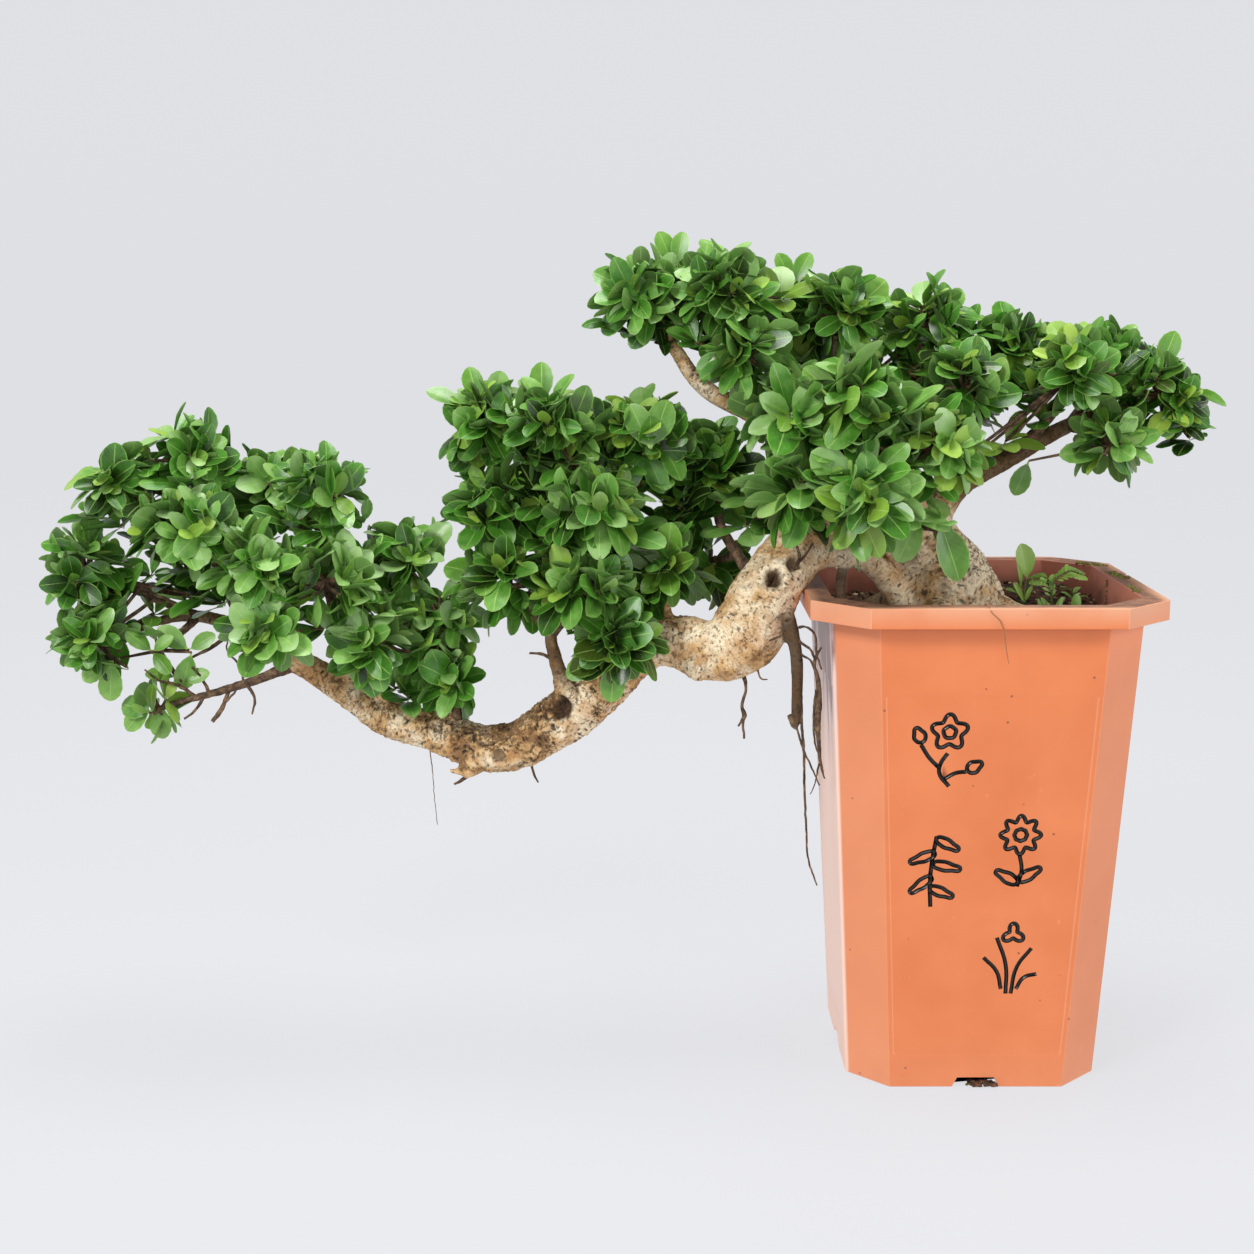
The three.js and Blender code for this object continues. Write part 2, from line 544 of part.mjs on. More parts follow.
const sprays = Object.entries(SPRAYS).flatMap(([tier, list]) => (
  list.map((spray, i) => ({ ...spray, name: `${tier}_${i + 1}` }))
));
const limbs = [
  ...MAIN_WOOD,
  ...sprays.map(({ wood, centre }) => [...wood, [...centre, TWIG_TIP]]),
];

const pot = buildPot();
const rimSeat = rimBlock(SEAT_GAP);
const trunk = largestBody(buildTrunk(limbs, 0).subtract(rimSeat.subtract(potRoom(0))));
const trunkRoom = buildTrunk(limbs, SEAT_GAP);
const weeds = Object.entries(WEEDS);
const weedStems = weeds.map(([, { stem }]) => buildLimb(stem, SEAT_GAP));
const soil = largestBody(wasm.Manifold.difference([buildSoil(), trunkRoom, ...weedStems]));

const bonsai = new THREE.Group();
bonsai.add(meshFrom('pot', pot, terracotta));
bonsai.add(meshFrom('soil', soil, earth));
bonsai.add(meshFrom('trunk', trunk, bark));
bonsai.add(...buildFoliage(sprays, trunkRoom, pot, soil));
weeds.forEach(([name, weed], i) => {
  bonsai.add(meshFrom(name, buildWeed(weed, sprays.length + i), freshLeaf));
});

bonsai.position.set(-REACH_MIDDLE_X, -REACH_MIDDLE_Y, 0);

export default bonsai;
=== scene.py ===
import math

import bmesh
import bpy
from mathutils import Matrix, Vector, kdtree, noise


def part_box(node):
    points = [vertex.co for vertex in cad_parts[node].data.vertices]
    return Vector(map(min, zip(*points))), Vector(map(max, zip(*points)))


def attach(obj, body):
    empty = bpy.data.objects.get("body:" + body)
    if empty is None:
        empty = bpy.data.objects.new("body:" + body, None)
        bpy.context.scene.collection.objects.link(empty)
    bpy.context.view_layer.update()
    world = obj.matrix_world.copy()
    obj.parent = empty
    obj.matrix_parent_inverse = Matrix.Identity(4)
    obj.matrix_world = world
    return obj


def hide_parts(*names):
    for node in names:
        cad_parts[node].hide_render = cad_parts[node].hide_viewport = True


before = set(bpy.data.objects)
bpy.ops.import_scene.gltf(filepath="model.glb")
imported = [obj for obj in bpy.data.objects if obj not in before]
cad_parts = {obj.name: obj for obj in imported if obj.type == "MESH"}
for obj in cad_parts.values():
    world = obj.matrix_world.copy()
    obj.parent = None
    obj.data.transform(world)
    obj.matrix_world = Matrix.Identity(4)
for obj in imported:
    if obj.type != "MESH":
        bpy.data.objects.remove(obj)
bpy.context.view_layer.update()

bpy.ops.object.select_all(action="DESELECT")
bpy.context.view_layer.objects.active = None

# The camera stands about a metre and a half in front of the plant, above the pot's rim, and
# looks down on it by ten degrees. Everything is in focus.
CAMERA_PLACE = (0.0053, -1.585, 0.647)
CAMERA_DOWN = 10.2
CAMERA_LENS = 55.84

bpy.ops.object.camera_add(location=CAMERA_PLACE, rotation=(math.radians(90 - CAMERA_DOWN), 0, 0))
camera = bpy.context.object
camera.data.lens = CAMERA_LENS
bpy.context.scene.camera = camera
bpy.context.scene.view_settings.view_transform = "Standard"

# The plant stands on a seamless sheet of pale matte paper, which curves up all round it into
# a low wall, so that no edge shows behind it from any side. The paper is lit from behind, which
# keeps it evenly pale.
PAPER_RADIUS = 3.4
PAPER_SIDES = 96
PAPER_CURVE = 1.3
PAPER_CURVE_STEPS = 10
PAPER_WALL = 1.6
PAPER_COLOUR, PAPER_GLOW = "545557", "E6E7EB"
PAPER_GLOW_STRENGTH = 0.845


def colour(hex_code):
    """The linear colour of an sRGB hex code"""
    channels = [int(hex_code[i:i + 2], 16) / 255 for i in (0, 2, 4)]
    linear = [c / 12.92 if c <= 0.04045 else ((c + 0.055) / 1.055) ** 2.4 for c in channels]
    return (*linear, 1.0)


def set_inputs(material, node, sources):
    """Gives each input of a shader node a value, an output, or another node's first output"""
    for key, source in sources.items():
        if isinstance(source, bpy.types.Node):
            source = next(output for output in source.outputs if output.enabled)
        if isinstance(source, bpy.types.NodeSocket):
            material.node_tree.links.new(source, node.inputs[key])
        else:
            node.inputs[key].default_value = source


def add_node(material, kind, settings=None, links=None, stops=None):
    """Adds a shader node with its settings and links, and a colour ramp's stops"""
    node = material.node_tree.nodes.new(kind)
    for name, value in (settings or {}).items():
        setattr(node, name, value)
    set_inputs(material, node, links or {})
    for i, (position, hex_code) in enumerate(stops or []):
        ramp = node.color_ramp.elements
        stop = ramp[i] if i < 2 else ramp.new(position)
        stop.position = position
        stop.color = colour(hex_code)
    return node


def new_material(name, roughness, ior=1.45):
    """A material with its shader's plain values, and the shader to be linked to"""
    material = bpy.data.materials.new(name)
    material.use_nodes = True
    shader = material.node_tree.nodes["Principled BSDF"]
    set_inputs(material, shader, {"Roughness": roughness, "IOR": ior})
    return material, shader


def turn_faces(inwards=False):
    """Turns all faces of the mesh in edit mode outwards or inwards, and leaves edit mode"""
    bpy.ops.mesh.select_all(action="SELECT")
    bpy.ops.mesh.normals_make_consistent(inside=inwards)
    bpy.ops.object.mode_set(mode="OBJECT")


paper, paper_shader = new_material("matte_background_paper", 0.9)
set_inputs(paper, paper_shader, {"Base Color": colour(PAPER_COLOUR),
                                 "Emission Color": colour(PAPER_GLOW),
                                 "Emission Strength": PAPER_GLOW_STRENGTH})

bpy.ops.mesh.primitive_circle_add(vertices=PAPER_SIDES, radius=PAPER_RADIUS, fill_type="NGON")
backdrop = bpy.context.object
backdrop.name = "background_paper"
bpy.ops.object.mode_set(mode="EDIT")
bpy.ops.mesh.select_mode(type="EDGE")
bpy.ops.mesh.select_all(action="SELECT")
reached = PAPER_RADIUS
height = 0
for step in range(1, PAPER_CURVE_STEPS + 1):
    angle = math.pi / 2 * step / PAPER_CURVE_STEPS
    radius = PAPER_RADIUS + PAPER_CURVE * math.sin(angle)
    rise = PAPER_CURVE * (1 - math.cos(angle)) - height
    spread = radius / reached
    bpy.ops.mesh.extrude_edges_move(TRANSFORM_OT_translate={"value": (0, 0, rise)})
    bpy.ops.transform.resize(value=(spread, spread, 1), center_override=(0, 0, 0))
    reached = radius
    height += rise
bpy.ops.mesh.extrude_edges_move(TRANSFORM_OT_translate={"value": (0, 0, PAPER_WALL)})
turn_faces(inwards=True)
bpy.ops.object.shade_smooth()
backdrop.data.materials.append(paper)

# Soft boxes light it, as in a small studio: a strong one above the front left, one overhead, and
# weak ones in front and at the right. The pale paper fills the shadows.
SOFT_BOXES = {
    "front_left": {"place": (-1.7, -2.1, 2.2), "aim": (0.0, 0.0, 0.35), "size": 0.9, "watts": 66},
    "overhead": {"place": (0.1, 0.0, 2.7), "aim": (0.1, 0.0, 0.3), "size": 1.2, "watts": 56},
    "front": {"place": (0.3, -2.9, 0.8), "aim": (0.1, 0.0, 0.35), "size": 1.0, "watts": 8},
    "right": {"place": (2.4, -1.3, 1.1), "aim": (0.2, 0.0, 0.3), "size": 1.2, "watts": 20},
}
ROOM_COLOUR = "EDF0F8"
ROOM_STRENGTH = 0.06

for name, box in SOFT_BOXES.items():
    direction = Vector(box["aim"]) - Vector(box["place"])
    turn = direction.to_track_quat("-Z", "Y").to_euler()
    bpy.ops.object.light_add(type="AREA", location=box["place"], rotation=turn)
    bpy.context.object.name = "soft_box_" + name
    bpy.context.object.data.size = box["size"]
    bpy.context.object.data.energy = box["watts"]
room = bpy.data.worlds.new("room")
room.use_nodes = True
room.node_tree.nodes["Background"].inputs["Color"].default_value = colour(ROOM_COLOUR)
room.node_tree.nodes["Background"].inputs["Strength"].default_value = ROOM_STRENGTH
bpy.context.scene.world = room

# The pot is one moulding of terracotta-coloured plastic: a tall square tub with cut corners, a
# turned-down rim, a thin raised panel edge on each broad side, a foot with a notch in the middle
# of each side, and drain holes in its raised floor.
MM = 0.001
POT_HEIGHT = 400
FOOT_HALF, FOOT_CUT = 102, 32
NECK_HALF, NECK_CUT = 123, 34
RIM_HALF, RIM_CUT = 140, 42
RIM_DEPTH = 16
RIM_INSIDE = 4
LIP_THICKNESS, LIP_START = 4.5, 1.6
MOUTH_HALF, MOUTH_CUT = 121.5, 36.5
WALL = 4
FLOOR_UNDERSIDE, FLOOR_TOP = 9, 13
FOOT_WIDTH = 7
NOTCH_HALF_WIDTH, NOTCH_HEIGHT = 23, 8
DRAIN_RADIUS, DRAIN_SPREAD = 8, 52
PANEL_LOW, PANEL_HIGH = 25, 331
PANEL_MARGIN, PANEL_SLOPE, PANEL_DEPTH = 3.5, 1.2, 0.6
EDGE_ROUNDING = 1.9
NECK = POT_HEIGHT - RIM_DEPTH

pot_low, pot_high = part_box("pot")
POT_MIDDLE = (pot_low + pot_high) / 2


def place(x, y, z):
    """A point measured in millimetres from the middle of the pot's foot, in the row frame"""
    return Vector((x * MM + POT_MIDDLE.x, y * MM + POT_MIDDLE.y, z * MM))


def wall_level(z, inset=0.0):
    """The pot wall's half width and corner cut at a height, moved in by an inset"""
    share = z / NECK
    half = FOOT_HALF + (NECK_HALF - FOOT_HALF) * share - inset
    cut = FOOT_CUT + (NECK_CUT - FOOT_CUT) * share - inset * (2 - math.sqrt(2))
    return z, half, cut


def set_ring(mesh, z, half, cut):
    """Moves the eight selected corners to a cut-cornered square at a height"""
    editing = bmesh.from_edit_mesh(mesh)
    for vertex in editing.verts:
        if vertex.select:
            x = vertex.co.x - POT_MIDDLE.x
            y = vertex.co.y - POT_MIDDLE.y
            wide = half if abs(x) > abs(y) else half - cut
            deep = half if abs(y) > abs(x) else half - cut
            vertex.co = place(math.copysign(wide, x), math.copysign(deep, y), z)
    bmesh.update_edit_mesh(mesh)


def raise_rings(levels, name):
    """A closed block made by extruding a cut-cornered square from level to level"""
    bpy.ops.mesh.primitive_circle_add(vertices=8, radius=FOOT_HALF * MM, fill_type="NGON",
                                      location=POT_MIDDLE, rotation=(0, 0, math.pi / 8))
    bpy.ops.object.transform_apply(location=True, rotation=True, scale=True)
    block = bpy.context.object
    block.name = name
    bpy.ops.object.mode_set(mode="EDIT")
    bpy.ops.mesh.select_all(action="SELECT")
    set_ring(block.data, *levels[0])
    for level in levels[1:]:
        bpy.ops.mesh.extrude_region_move()
        set_ring(block.data, *level)
    turn_faces()
    return block


def make_active(piece):
    """Selects one piece alone, for the operators that follow"""
    bpy.ops.object.select_all(action="DESELECT")
    piece.select_set(True)
    bpy.context.view_layer.objects.active = piece


def apply_modifier(piece, kind, **settings):
    """Adds a modifier, sets it and applies it"""
    make_active(piece)
    bpy.ops.object.modifier_add(type=kind)
    modifier = piece.modifiers[-1]
    for name, value in settings.items():
        setattr(modifier, name, value)
    bpy.ops.object.modifier_apply(modifier=modifier.name)


def cut_away(piece, cutter):
    """Cuts one piece by another, whose material then shows on the cut faces"""
    apply_modifier(piece, "BOOLEAN", operation="DIFFERENCE", object=cutter, solver="EXACT",
                   material_mode="TRANSFER", use_self=True)
    bpy.data.objects.remove(cutter)


pot = raise_rings([
    (FLOOR_UNDERSIDE, FOOT_HALF - FOOT_WIDTH, FOOT_CUT - FOOT_WIDTH / 2),
    (0, FOOT_HALF - FOOT_WIDTH, FOOT_CUT - FOOT_WIDTH / 2),
    wall_level(0),
    wall_level(PANEL_LOW),
    wall_level(PANEL_HIGH),
    wall_level(NECK),
    (POT_HEIGHT - LIP_THICKNESS, NECK_HALF + LIP_START, NECK_CUT),
    (POT_HEIGHT - LIP_THICKNESS, RIM_HALF - RIM_INSIDE, RIM_CUT - RIM_INSIDE / 2),
    (NECK, RIM_HALF - RIM_INSIDE, RIM_CUT - RIM_INSIDE / 2),
    (NECK, RIM_HALF, RIM_CUT),
    (POT_HEIGHT, RIM_HALF, RIM_CUT),
    (POT_HEIGHT, MOUTH_HALF, MOUTH_CUT),
    wall_level(NECK, WALL),
    wall_level(FLOOR_TOP, WALL),
], "pot_shell")

# Each broad side carries a panel that lies a hair's breadth lower than the edge round it. A
# broad side faces straight out and, between the levels of its panel, is larger than a cut corner.
STRAIGHT_OUT = 0.95
LEAST_SIDE_AREA = 0.03

bpy.ops.object.mode_set(mode="EDIT")
bpy.ops.mesh.select_mode(type="FACE")
bpy.ops.mesh.select_all(action="DESELECT")
editing = bmesh.from_edit_mesh(pot.data)
for face in editing.faces:
    centre = face.calc_center_median()
    upright = PANEL_LOW * MM < centre.z < PANEL_HIGH * MM
    broad = max(abs(face.normal.x), abs(face.normal.y)) > STRAIGHT_OUT
    outside = face.normal.xy.dot((centre - POT_MIDDLE).xy) > 0
    face.select = upright and broad and outside and face.calc_area() > LEAST_SIDE_AREA
bmesh.update_edit_mesh(pot.data)
bpy.ops.mesh.inset(thickness=PANEL_MARGIN * MM, depth=0, use_individual=True)
bpy.ops.mesh.inset(thickness=PANEL_SLOPE * MM, depth=-PANEL_DEPTH * MM, use_individual=True)
bpy.ops.object.mode_set(mode="OBJECT")

# The foot's notches have slanting ends, and the drain holes stand at the floor's middle and
# towards its four corners. Then all sharp edges are rounded, as in a mould.
DRAIN_SIDES, DRAIN_DEPTH = 32, 40
SHARP_EDGE = math.radians(30)

for turn in (0, math.pi / 2):
    bpy.ops.mesh.primitive_cube_add(size=1, location=(POT_MIDDLE.x, POT_MIDDLE.y, 0),
                                    rotation=(0, 0, turn))
    notch = bpy.context.object
    notch.scale = (2 * NOTCH_HALF_WIDTH * MM, 3 * FOOT_HALF * MM, 2 * NOTCH_HEIGHT * MM)
    bpy.ops.object.transform_apply(location=False, rotation=False, scale=True)
    for vertex in notch.data.vertices:
        if vertex.co.z > 0:
            vertex.co.x -= math.copysign(NOTCH_HEIGHT * MM, vertex.co.x)
    cut_away(pot, notch)
corner_ways = [math.pi / 4 + i * math.pi / 2 for i in range(4)]
drains = [(0, 0)] + [(DRAIN_SPREAD * math.cos(way), DRAIN_SPREAD * math.sin(way))
                     for way in corner_ways]
for x, y in drains:
    bpy.ops.mesh.primitive_cylinder_add(vertices=DRAIN_SIDES, radius=DRAIN_RADIUS * MM,
                                        depth=DRAIN_DEPTH * MM, location=place(x, y, FLOOR_TOP))
    cut_away(pot, bpy.context.object)
apply_modifier(pot, "BEVEL", width=EDGE_ROUNDING * MM, segments=3, limit_method="ANGLE",
               angle_limit=SHARP_EDGE, harden_normals=True)

# Years of use have knocked a flake off the rim at the back right. A fixed seed gives the noise
# vectors, here and in the wood, the same values in every run.
FLAKE_MIDDLE, FLAKE_RADIUS = (143, 34, 405), 9
FLAKE_ROUGHNESS, FLAKE_GRAIN = 2.5, 160
NOISE_SEED = 1

noise.seed_set(NOISE_SEED)
bpy.ops.mesh.primitive_ico_sphere_add(subdivisions=3, radius=FLAKE_RADIUS * MM,
                                      location=place(*FLAKE_MIDDLE))
flake = bpy.context.object
bpy.ops.object.transform_apply(location=True)
for vertex in flake.data.vertices:
    vertex.co += FLAKE_ROUGHNESS * MM * noise.noise_vector(vertex.co * FLAKE_GRAIN)
cut_away(pot, flake)

# Polypropylene, coloured through and moulded: satin, a little wavy, lightly scuffed and stained
# where water and roots ran down its left side, bleached on the rim and painted paler towards its
# top edge there as a painted highlight, chalky near the foot.
CLAY_ORANGE, CLAY_DEEP, CLAY_PALE, CLAY_SUNNED_AND_HIGHLIGHT = "E0804D", "D67542", "EDA680", "E2A884"
STAIN_GREY, STAIN_DARK, STAIN_PINK = "EAD6D0", "6E666A", "F6D8C8"
DIRT_SPOT = "7A4630"
CHALK_HEIGHT = 50
STAIN_PALE_BELOW, STAIN_DARK_ABOVE = 220, 370
STAIN_TOP = NECK - 6
STAIN_EDGE = POT_MIDDLE.x - (FOOT_HALF - 1.5) * MM
STAIN_EDGE_WIDTH = 2
WALL_LEAN = (NECK_HALF - FOOT_HALF) / NECK


def per(millimetres):
    """A texture scale that gives features of this size"""
    return 1 / (millimetres * MM)


clay, clay_shader = new_material("moulded_terracotta_polypropylene", 0.42, 1.49)
spot = add_node(clay, "ShaderNodeTexCoord").outputs["Object"]
split = add_node(clay, "ShaderNodeSeparateXYZ", {}, {"Vector": spot})
level = split.outputs["Z"]
cloud = add_node(clay, "ShaderNodeTexNoise", {}, {"Vector": spot, "Scale": per(70), "Detail": 3.0})
tone = add_node(clay, "ShaderNodeValToRGB", {}, {"Fac": cloud},
                [(0.32, CLAY_DEEP), (0.68, CLAY_ORANGE)])
scuffs = add_node(clay, "ShaderNodeTexNoise", {},
                  {"Vector": spot, "Scale": per(9), "Detail": 9.0, "Roughness": 0.72})
scuffed = add_node(clay, "ShaderNodeMapRange", {},
                   {"Value": scuffs, "From Min": 0.62, "From Max": 0.78, "To Max": 0.5})
# Painted highlight and painted reflection, with some wear, on the cut corners and rounded edges
corner = add_node(clay, "ShaderNodeAttribute", {"attribute_name": "pale_corner"}).outputs["Fac"]
specks = add_node(clay, "ShaderNodeTexVoronoi", {}, {"Vector": spot, "Scale": per(23)})
speckled = add_node(clay, "ShaderNodeMapRange", {},
                    {"Value": specks, "From Min": 0.035, "From Max": 0.055,
                     "To Min": 0.75, "To Max": 0.0})
across = add_node(clay, "ShaderNodeMath", {"operation": "MULTIPLY_ADD"},
                  {0: level, 1: WALL_LEAN, 2: split.outputs["X"]})
left_side = add_node(clay, "ShaderNodeMapRange", {"interpolation_type": "SMOOTHSTEP"},
                     {"Value": across, "From Min": STAIN_EDGE,
                      "From Max": STAIN_EDGE + STAIN_EDGE_WIDTH * MM, "To Min": 1.0, "To Max": 0.0})
stretched = add_node(clay, "ShaderNodeMapping", {}, {"Vector": spot, "Scale": (1, 1, 0.16)})
streaks = add_node(clay, "ShaderNodeTexNoise", {},
                   {"Vector": stretched, "Scale": per(16), "Detail": 6.0})
darker_above = add_node(clay, "ShaderNodeMapRange", {"interpolation_type": "SMOOTHSTEP"},
                        {"Value": level, "From Min": STAIN_PALE_BELOW * MM,
                         "From Max": STAIN_DARK_ABOVE * MM, "To Min": 0.27, "To Max": -0.15})
darkened = add_node(clay, "ShaderNodeMath", {"operation": "ADD"}, {0: streaks, 1: darker_above})
streak_colour = add_node(clay, "ShaderNodeValToRGB", {}, {"Fac": darkened},
                         [(0.34, STAIN_DARK), (0.5, STAIN_GREY), (0.68, STAIN_PINK)])
below_rim = add_node(clay, "ShaderNodeMapRange", {},
                     {"Value": level, "From Min": STAIN_TOP * MM, "From Max": NECK * MM,
                      "To Min": 0.8, "To Max": 0.05})
stained = add_node(clay, "ShaderNodeMath", {"operation": "MULTIPLY"}, {0: left_side, 1: below_rim})
near_foot = add_node(clay, "ShaderNodeMapRange", {},
                     {"Value": level, "From Max": CHALK_HEIGHT * MM, "To Min": 0.34, "To Max": 0.0})
chalky = add_node(clay, "ShaderNodeMath", {"operation": "MULTIPLY"}, {0: near_foot, 1: scuffs})
# The rim is paler towards its top edge and in patches: partly bleaching, partly painted highlight
# and painted reflection
on_rim = add_node(clay, "ShaderNodeMapRange", {},
                  {"Value": level, "From Min": (NECK + 0.2) * MM, "From Max": (POT_HEIGHT - 1) * MM,
                   "To Max": 0.75})
rim_patches = add_node(clay, "ShaderNodeMapRange", {},
                       {"Value": cloud, "From Min": 0.34, "From Max": 0.6, "To Min": 0.45})
bleached_and_highlit = add_node(clay, "ShaderNodeMath", {"operation": "MULTIPLY"}, {0: on_rim, 1: rim_patches})
coat = tone
for mask, over in ((scuffed, colour(CLAY_PALE)), (corner, colour(CLAY_PALE)),
                   (speckled, colour(DIRT_SPOT)), (stained, streak_colour),
                   (chalky, colour(CLAY_PALE)), (bleached_and_highlit, colour(CLAY_SUNNED_AND_HIGHLIGHT))):
    coat = add_node(clay, "ShaderNodeMix", {"data_type": "RGBA"},
                    {"Factor": mask, 6: coat, 7: over})
waves = add_node(clay, "ShaderNodeTexNoise", {}, {"Vector": spot, "Scale": per(34), "Detail": 2.0})
wave_bump = add_node(clay, "ShaderNodeBump", {},
                     {"Height": waves, "Strength": 0.5, "Distance": 1.2 * MM})
grain = add_node(clay, "ShaderNodeTexNoise", {},
                 {"Vector": spot, "Scale": per(1.6), "Detail": 2.0})
grain_bump = add_node(clay, "ShaderNodeBump", {},
                      {"Height": grain, "Normal": wave_bump, "Strength": 0.25,
                       "Distance": 0.12 * MM})
set_inputs(clay, clay_shader, {"Base Color": coat, "Normal": grain_bump})

# Inside, the same plastic is a darker brown, and darker still below a ragged line under the rim
INSIDE_BROWN, INSIDE_DARK_BROWN = "B8705A", "6E4434"
INSIDE_DARK_LINE, INSIDE_DARK_FADE, INSIDE_DARK_RAGGEDNESS = 352, 26, 30

inside, inside_shader = new_material("darker_inside_polypropylene", 0.62, 1.49)
spot = add_node(inside, "ShaderNodeTexCoord").outputs["Object"]
split = add_node(inside, "ShaderNodeSeparateXYZ", {}, {"Vector": spot})
dirt = add_node(inside, "ShaderNodeTexNoise", {},
                {"Vector": spot, "Scale": per(14), "Detail": 7.0})
ragged = add_node(inside, "ShaderNodeMath", {"operation": "MULTIPLY_ADD"},
                  {0: dirt, 1: -INSIDE_DARK_RAGGEDNESS * MM, 2: split.outputs["Z"]})
# The inside wall is darker towards the bottom, below a ragged line
above_dark_line = add_node(inside, "ShaderNodeMapRange", {},
                      {"Value": ragged, "From Min": INSIDE_DARK_LINE * MM,
                       "From Max": (INSIDE_DARK_LINE + INSIDE_DARK_FADE) * MM})
wash = add_node(inside, "ShaderNodeMix", {"data_type": "RGBA"},
                {"Factor": above_dark_line, 6: colour(INSIDE_DARK_BROWN), 7: colour(INSIDE_BROWN)})
set_inputs(inside, inside_shader, {"Base Color": wash})

# The top of the rim is dulled by dust and dried mud, and painted with a highlight along its outer
# edge, where its rounding catches the light
DUST_PINK, DUST_BROWN = "96684E", "75503C"
EDGE_HIGHLIGHT_WIDTH = 11

dusty, dusty_shader = new_material("dust_dulled_polypropylene", 0.7, 1.49)
spot = add_node(dusty, "ShaderNodeTexCoord").outputs["Object"]
dust = add_node(dusty, "ShaderNodeTexNoise", {},
                {"Vector": spot, "Scale": per(12), "Detail": 8.0, "Roughness": 0.65})
dust_tone = add_node(dusty, "ShaderNodeValToRGB", {}, {"Fac": dust},
                     [(0.4, DUST_BROWN), (0.56, DUST_PINK)])
centred = add_node(dusty, "ShaderNodeMapping", {}, {"Vector": spot, "Location": -POT_MIDDLE})
folded = add_node(dusty, "ShaderNodeVectorMath", {"operation": "ABSOLUTE"}, {0: centred})
split = add_node(dusty, "ShaderNodeSeparateXYZ", {}, {"Vector": folded})
from_middle = add_node(dusty, "ShaderNodeMath", {"operation": "MAXIMUM"},
                       {0: split.outputs["X"], 1: split.outputs["Y"]})
# Painted highlight: the dust gives way to pale clay towards the rim's outer edge
edge_highlight = add_node(dusty, "ShaderNodeMapRange", {"interpolation_type": "SMOOTHSTEP"},
                  {"Value": from_middle, "From Min": (RIM_HALF - EDGE_HIGHLIGHT_WIDTH) * MM,
                   "From Max": RIM_HALF * MM, "To Max": 0.8})
rim_top = add_node(dusty, "ShaderNodeMix", {"data_type": "RGBA"},
                   {"Factor": edge_highlight, 6: dust_tone, 7: colour(CLAY_SUNNED_AND_HIGHLIGHT)})
set_inputs(dusty, dusty_shader, {"Base Color": rim_top})

# The cut corners and the rounded edges beside them are painted pale, partly as wear and partly as
# painted highlight and painted reflection, paler still on the rim. A face's slant is how far it
# looks along both x and y: a cut corner's is a half.
FLAT_SLANT, CORNER_SLANT = 0.04, 0.46
CORNER_WEAR_AND_HIGHLIGHT, EDGE_WEAR_AND_HIGHLIGHT, RIM_WEAR_AND_HIGHLIGHT = 0.3, 0.34, 0.28
LEVEL = 0.9
INSIDE_FACE, DUSTY_FACE = 1, 2


def within_mouth(x, y, margin):
    """Whether a place, in mm from the pot's middle, lies inside the pot's mouth"""
    half = MOUTH_HALF - margin
    return max(abs(x), abs(y)) < half and abs(x) + abs(y) < 2 * half - MOUTH_CUT


pot.data.materials.clear()
for plastic in (clay, inside, dusty):
    pot.data.materials.append(plastic)
pale_corner = pot.data.attributes.new("pale_corner", "FLOAT", "FACE")
for face in pot.data.polygons:
    slant = abs(face.normal.x * face.normal.y)
    if FLAT_SLANT < slant:
        wear_and_highlight = CORNER_WEAR_AND_HIGHLIGHT if slant > CORNER_SLANT else EDGE_WEAR_AND_HIGHLIGHT
        pale_corner.data[face.index].value = wear_and_highlight + (RIM_WEAR_AND_HIGHLIGHT if face.center.z > NECK * MM else 0)
    centre = face.center - POT_MIDDLE
    level_top = face.normal.z > LEVEL
    inner = face.normal.xy.dot(centre.xy) < 0 or level_top
    if inner and within_mouth(centre.x / MM, centre.y / MM, -1) and face.center.z > FLOOR_TOP * MM:
        face.material_index = INSIDE_FACE
    elif level_top and face.center.z > NECK * MM:
        face.material_index = DUSTY_FACE

# The front carries four line drawings of garden flowers, pressed into the plastic with a round
# tool and filled with glossy black enamel: a blossom twig, bamboo, a daisy and an orchid.
GROOVE_RADIUS = 1.75
ENAMEL_BLACK = "17120F"
BLOSSOM_MIDDLE, BAMBOO_MIDDLE = (-35, 286), (-39, 185)
DAISY_MIDDLE, ORCHID_MIDDLE = (27, 203), (23, 112)
POINTS_PER_PETAL = 10
SMOOTH_BELOW = math.radians(32)
# Round a pointed leaf that stands upright: [share of its width, share of its length]
POINTED_LEAF = [(0, 0), (0.5, 0.35), (0.36, 0.72), (0, 1.05), (-0.36, 0.72), (-0.5, 0.35)]

enamel, enamel_shader = new_material("black_enamel", 0.3, 1.5)
set_inputs(enamel, enamel_shader, {"Base Color": colour(ENAMEL_BLACK)})


def flower_outline(radius, petals, depth):
    """A closed line that swells out into petals"""
    count = petals * POINTS_PER_PETAL
    turns = [2 * math.pi * i / count for i in range(count)]
    return [(radius * (1 - depth + depth * math.cos(petals * t)) * math.sin(t),
             radius * (1 - depth + depth * math.cos(petals * t)) * math.cos(t)) for t in turns]


def leaf_outline(x, z, length, width, degrees):
    """A closed line round a pointed leaf, which leans by an angle from upright"""
    lean = math.radians(degrees)
    points = [(side * width, up * length) for side, up in POINTED_LEAF]
    return [(x + side * math.cos(lean) + up * math.sin(lean),
             z - side * math.sin(lean) + up * math.cos(lean)) for side, up in points]


def moved(line, right, up):
    """A line moved sideways and up"""
    return [(x + right, z + up) for x, z in line]


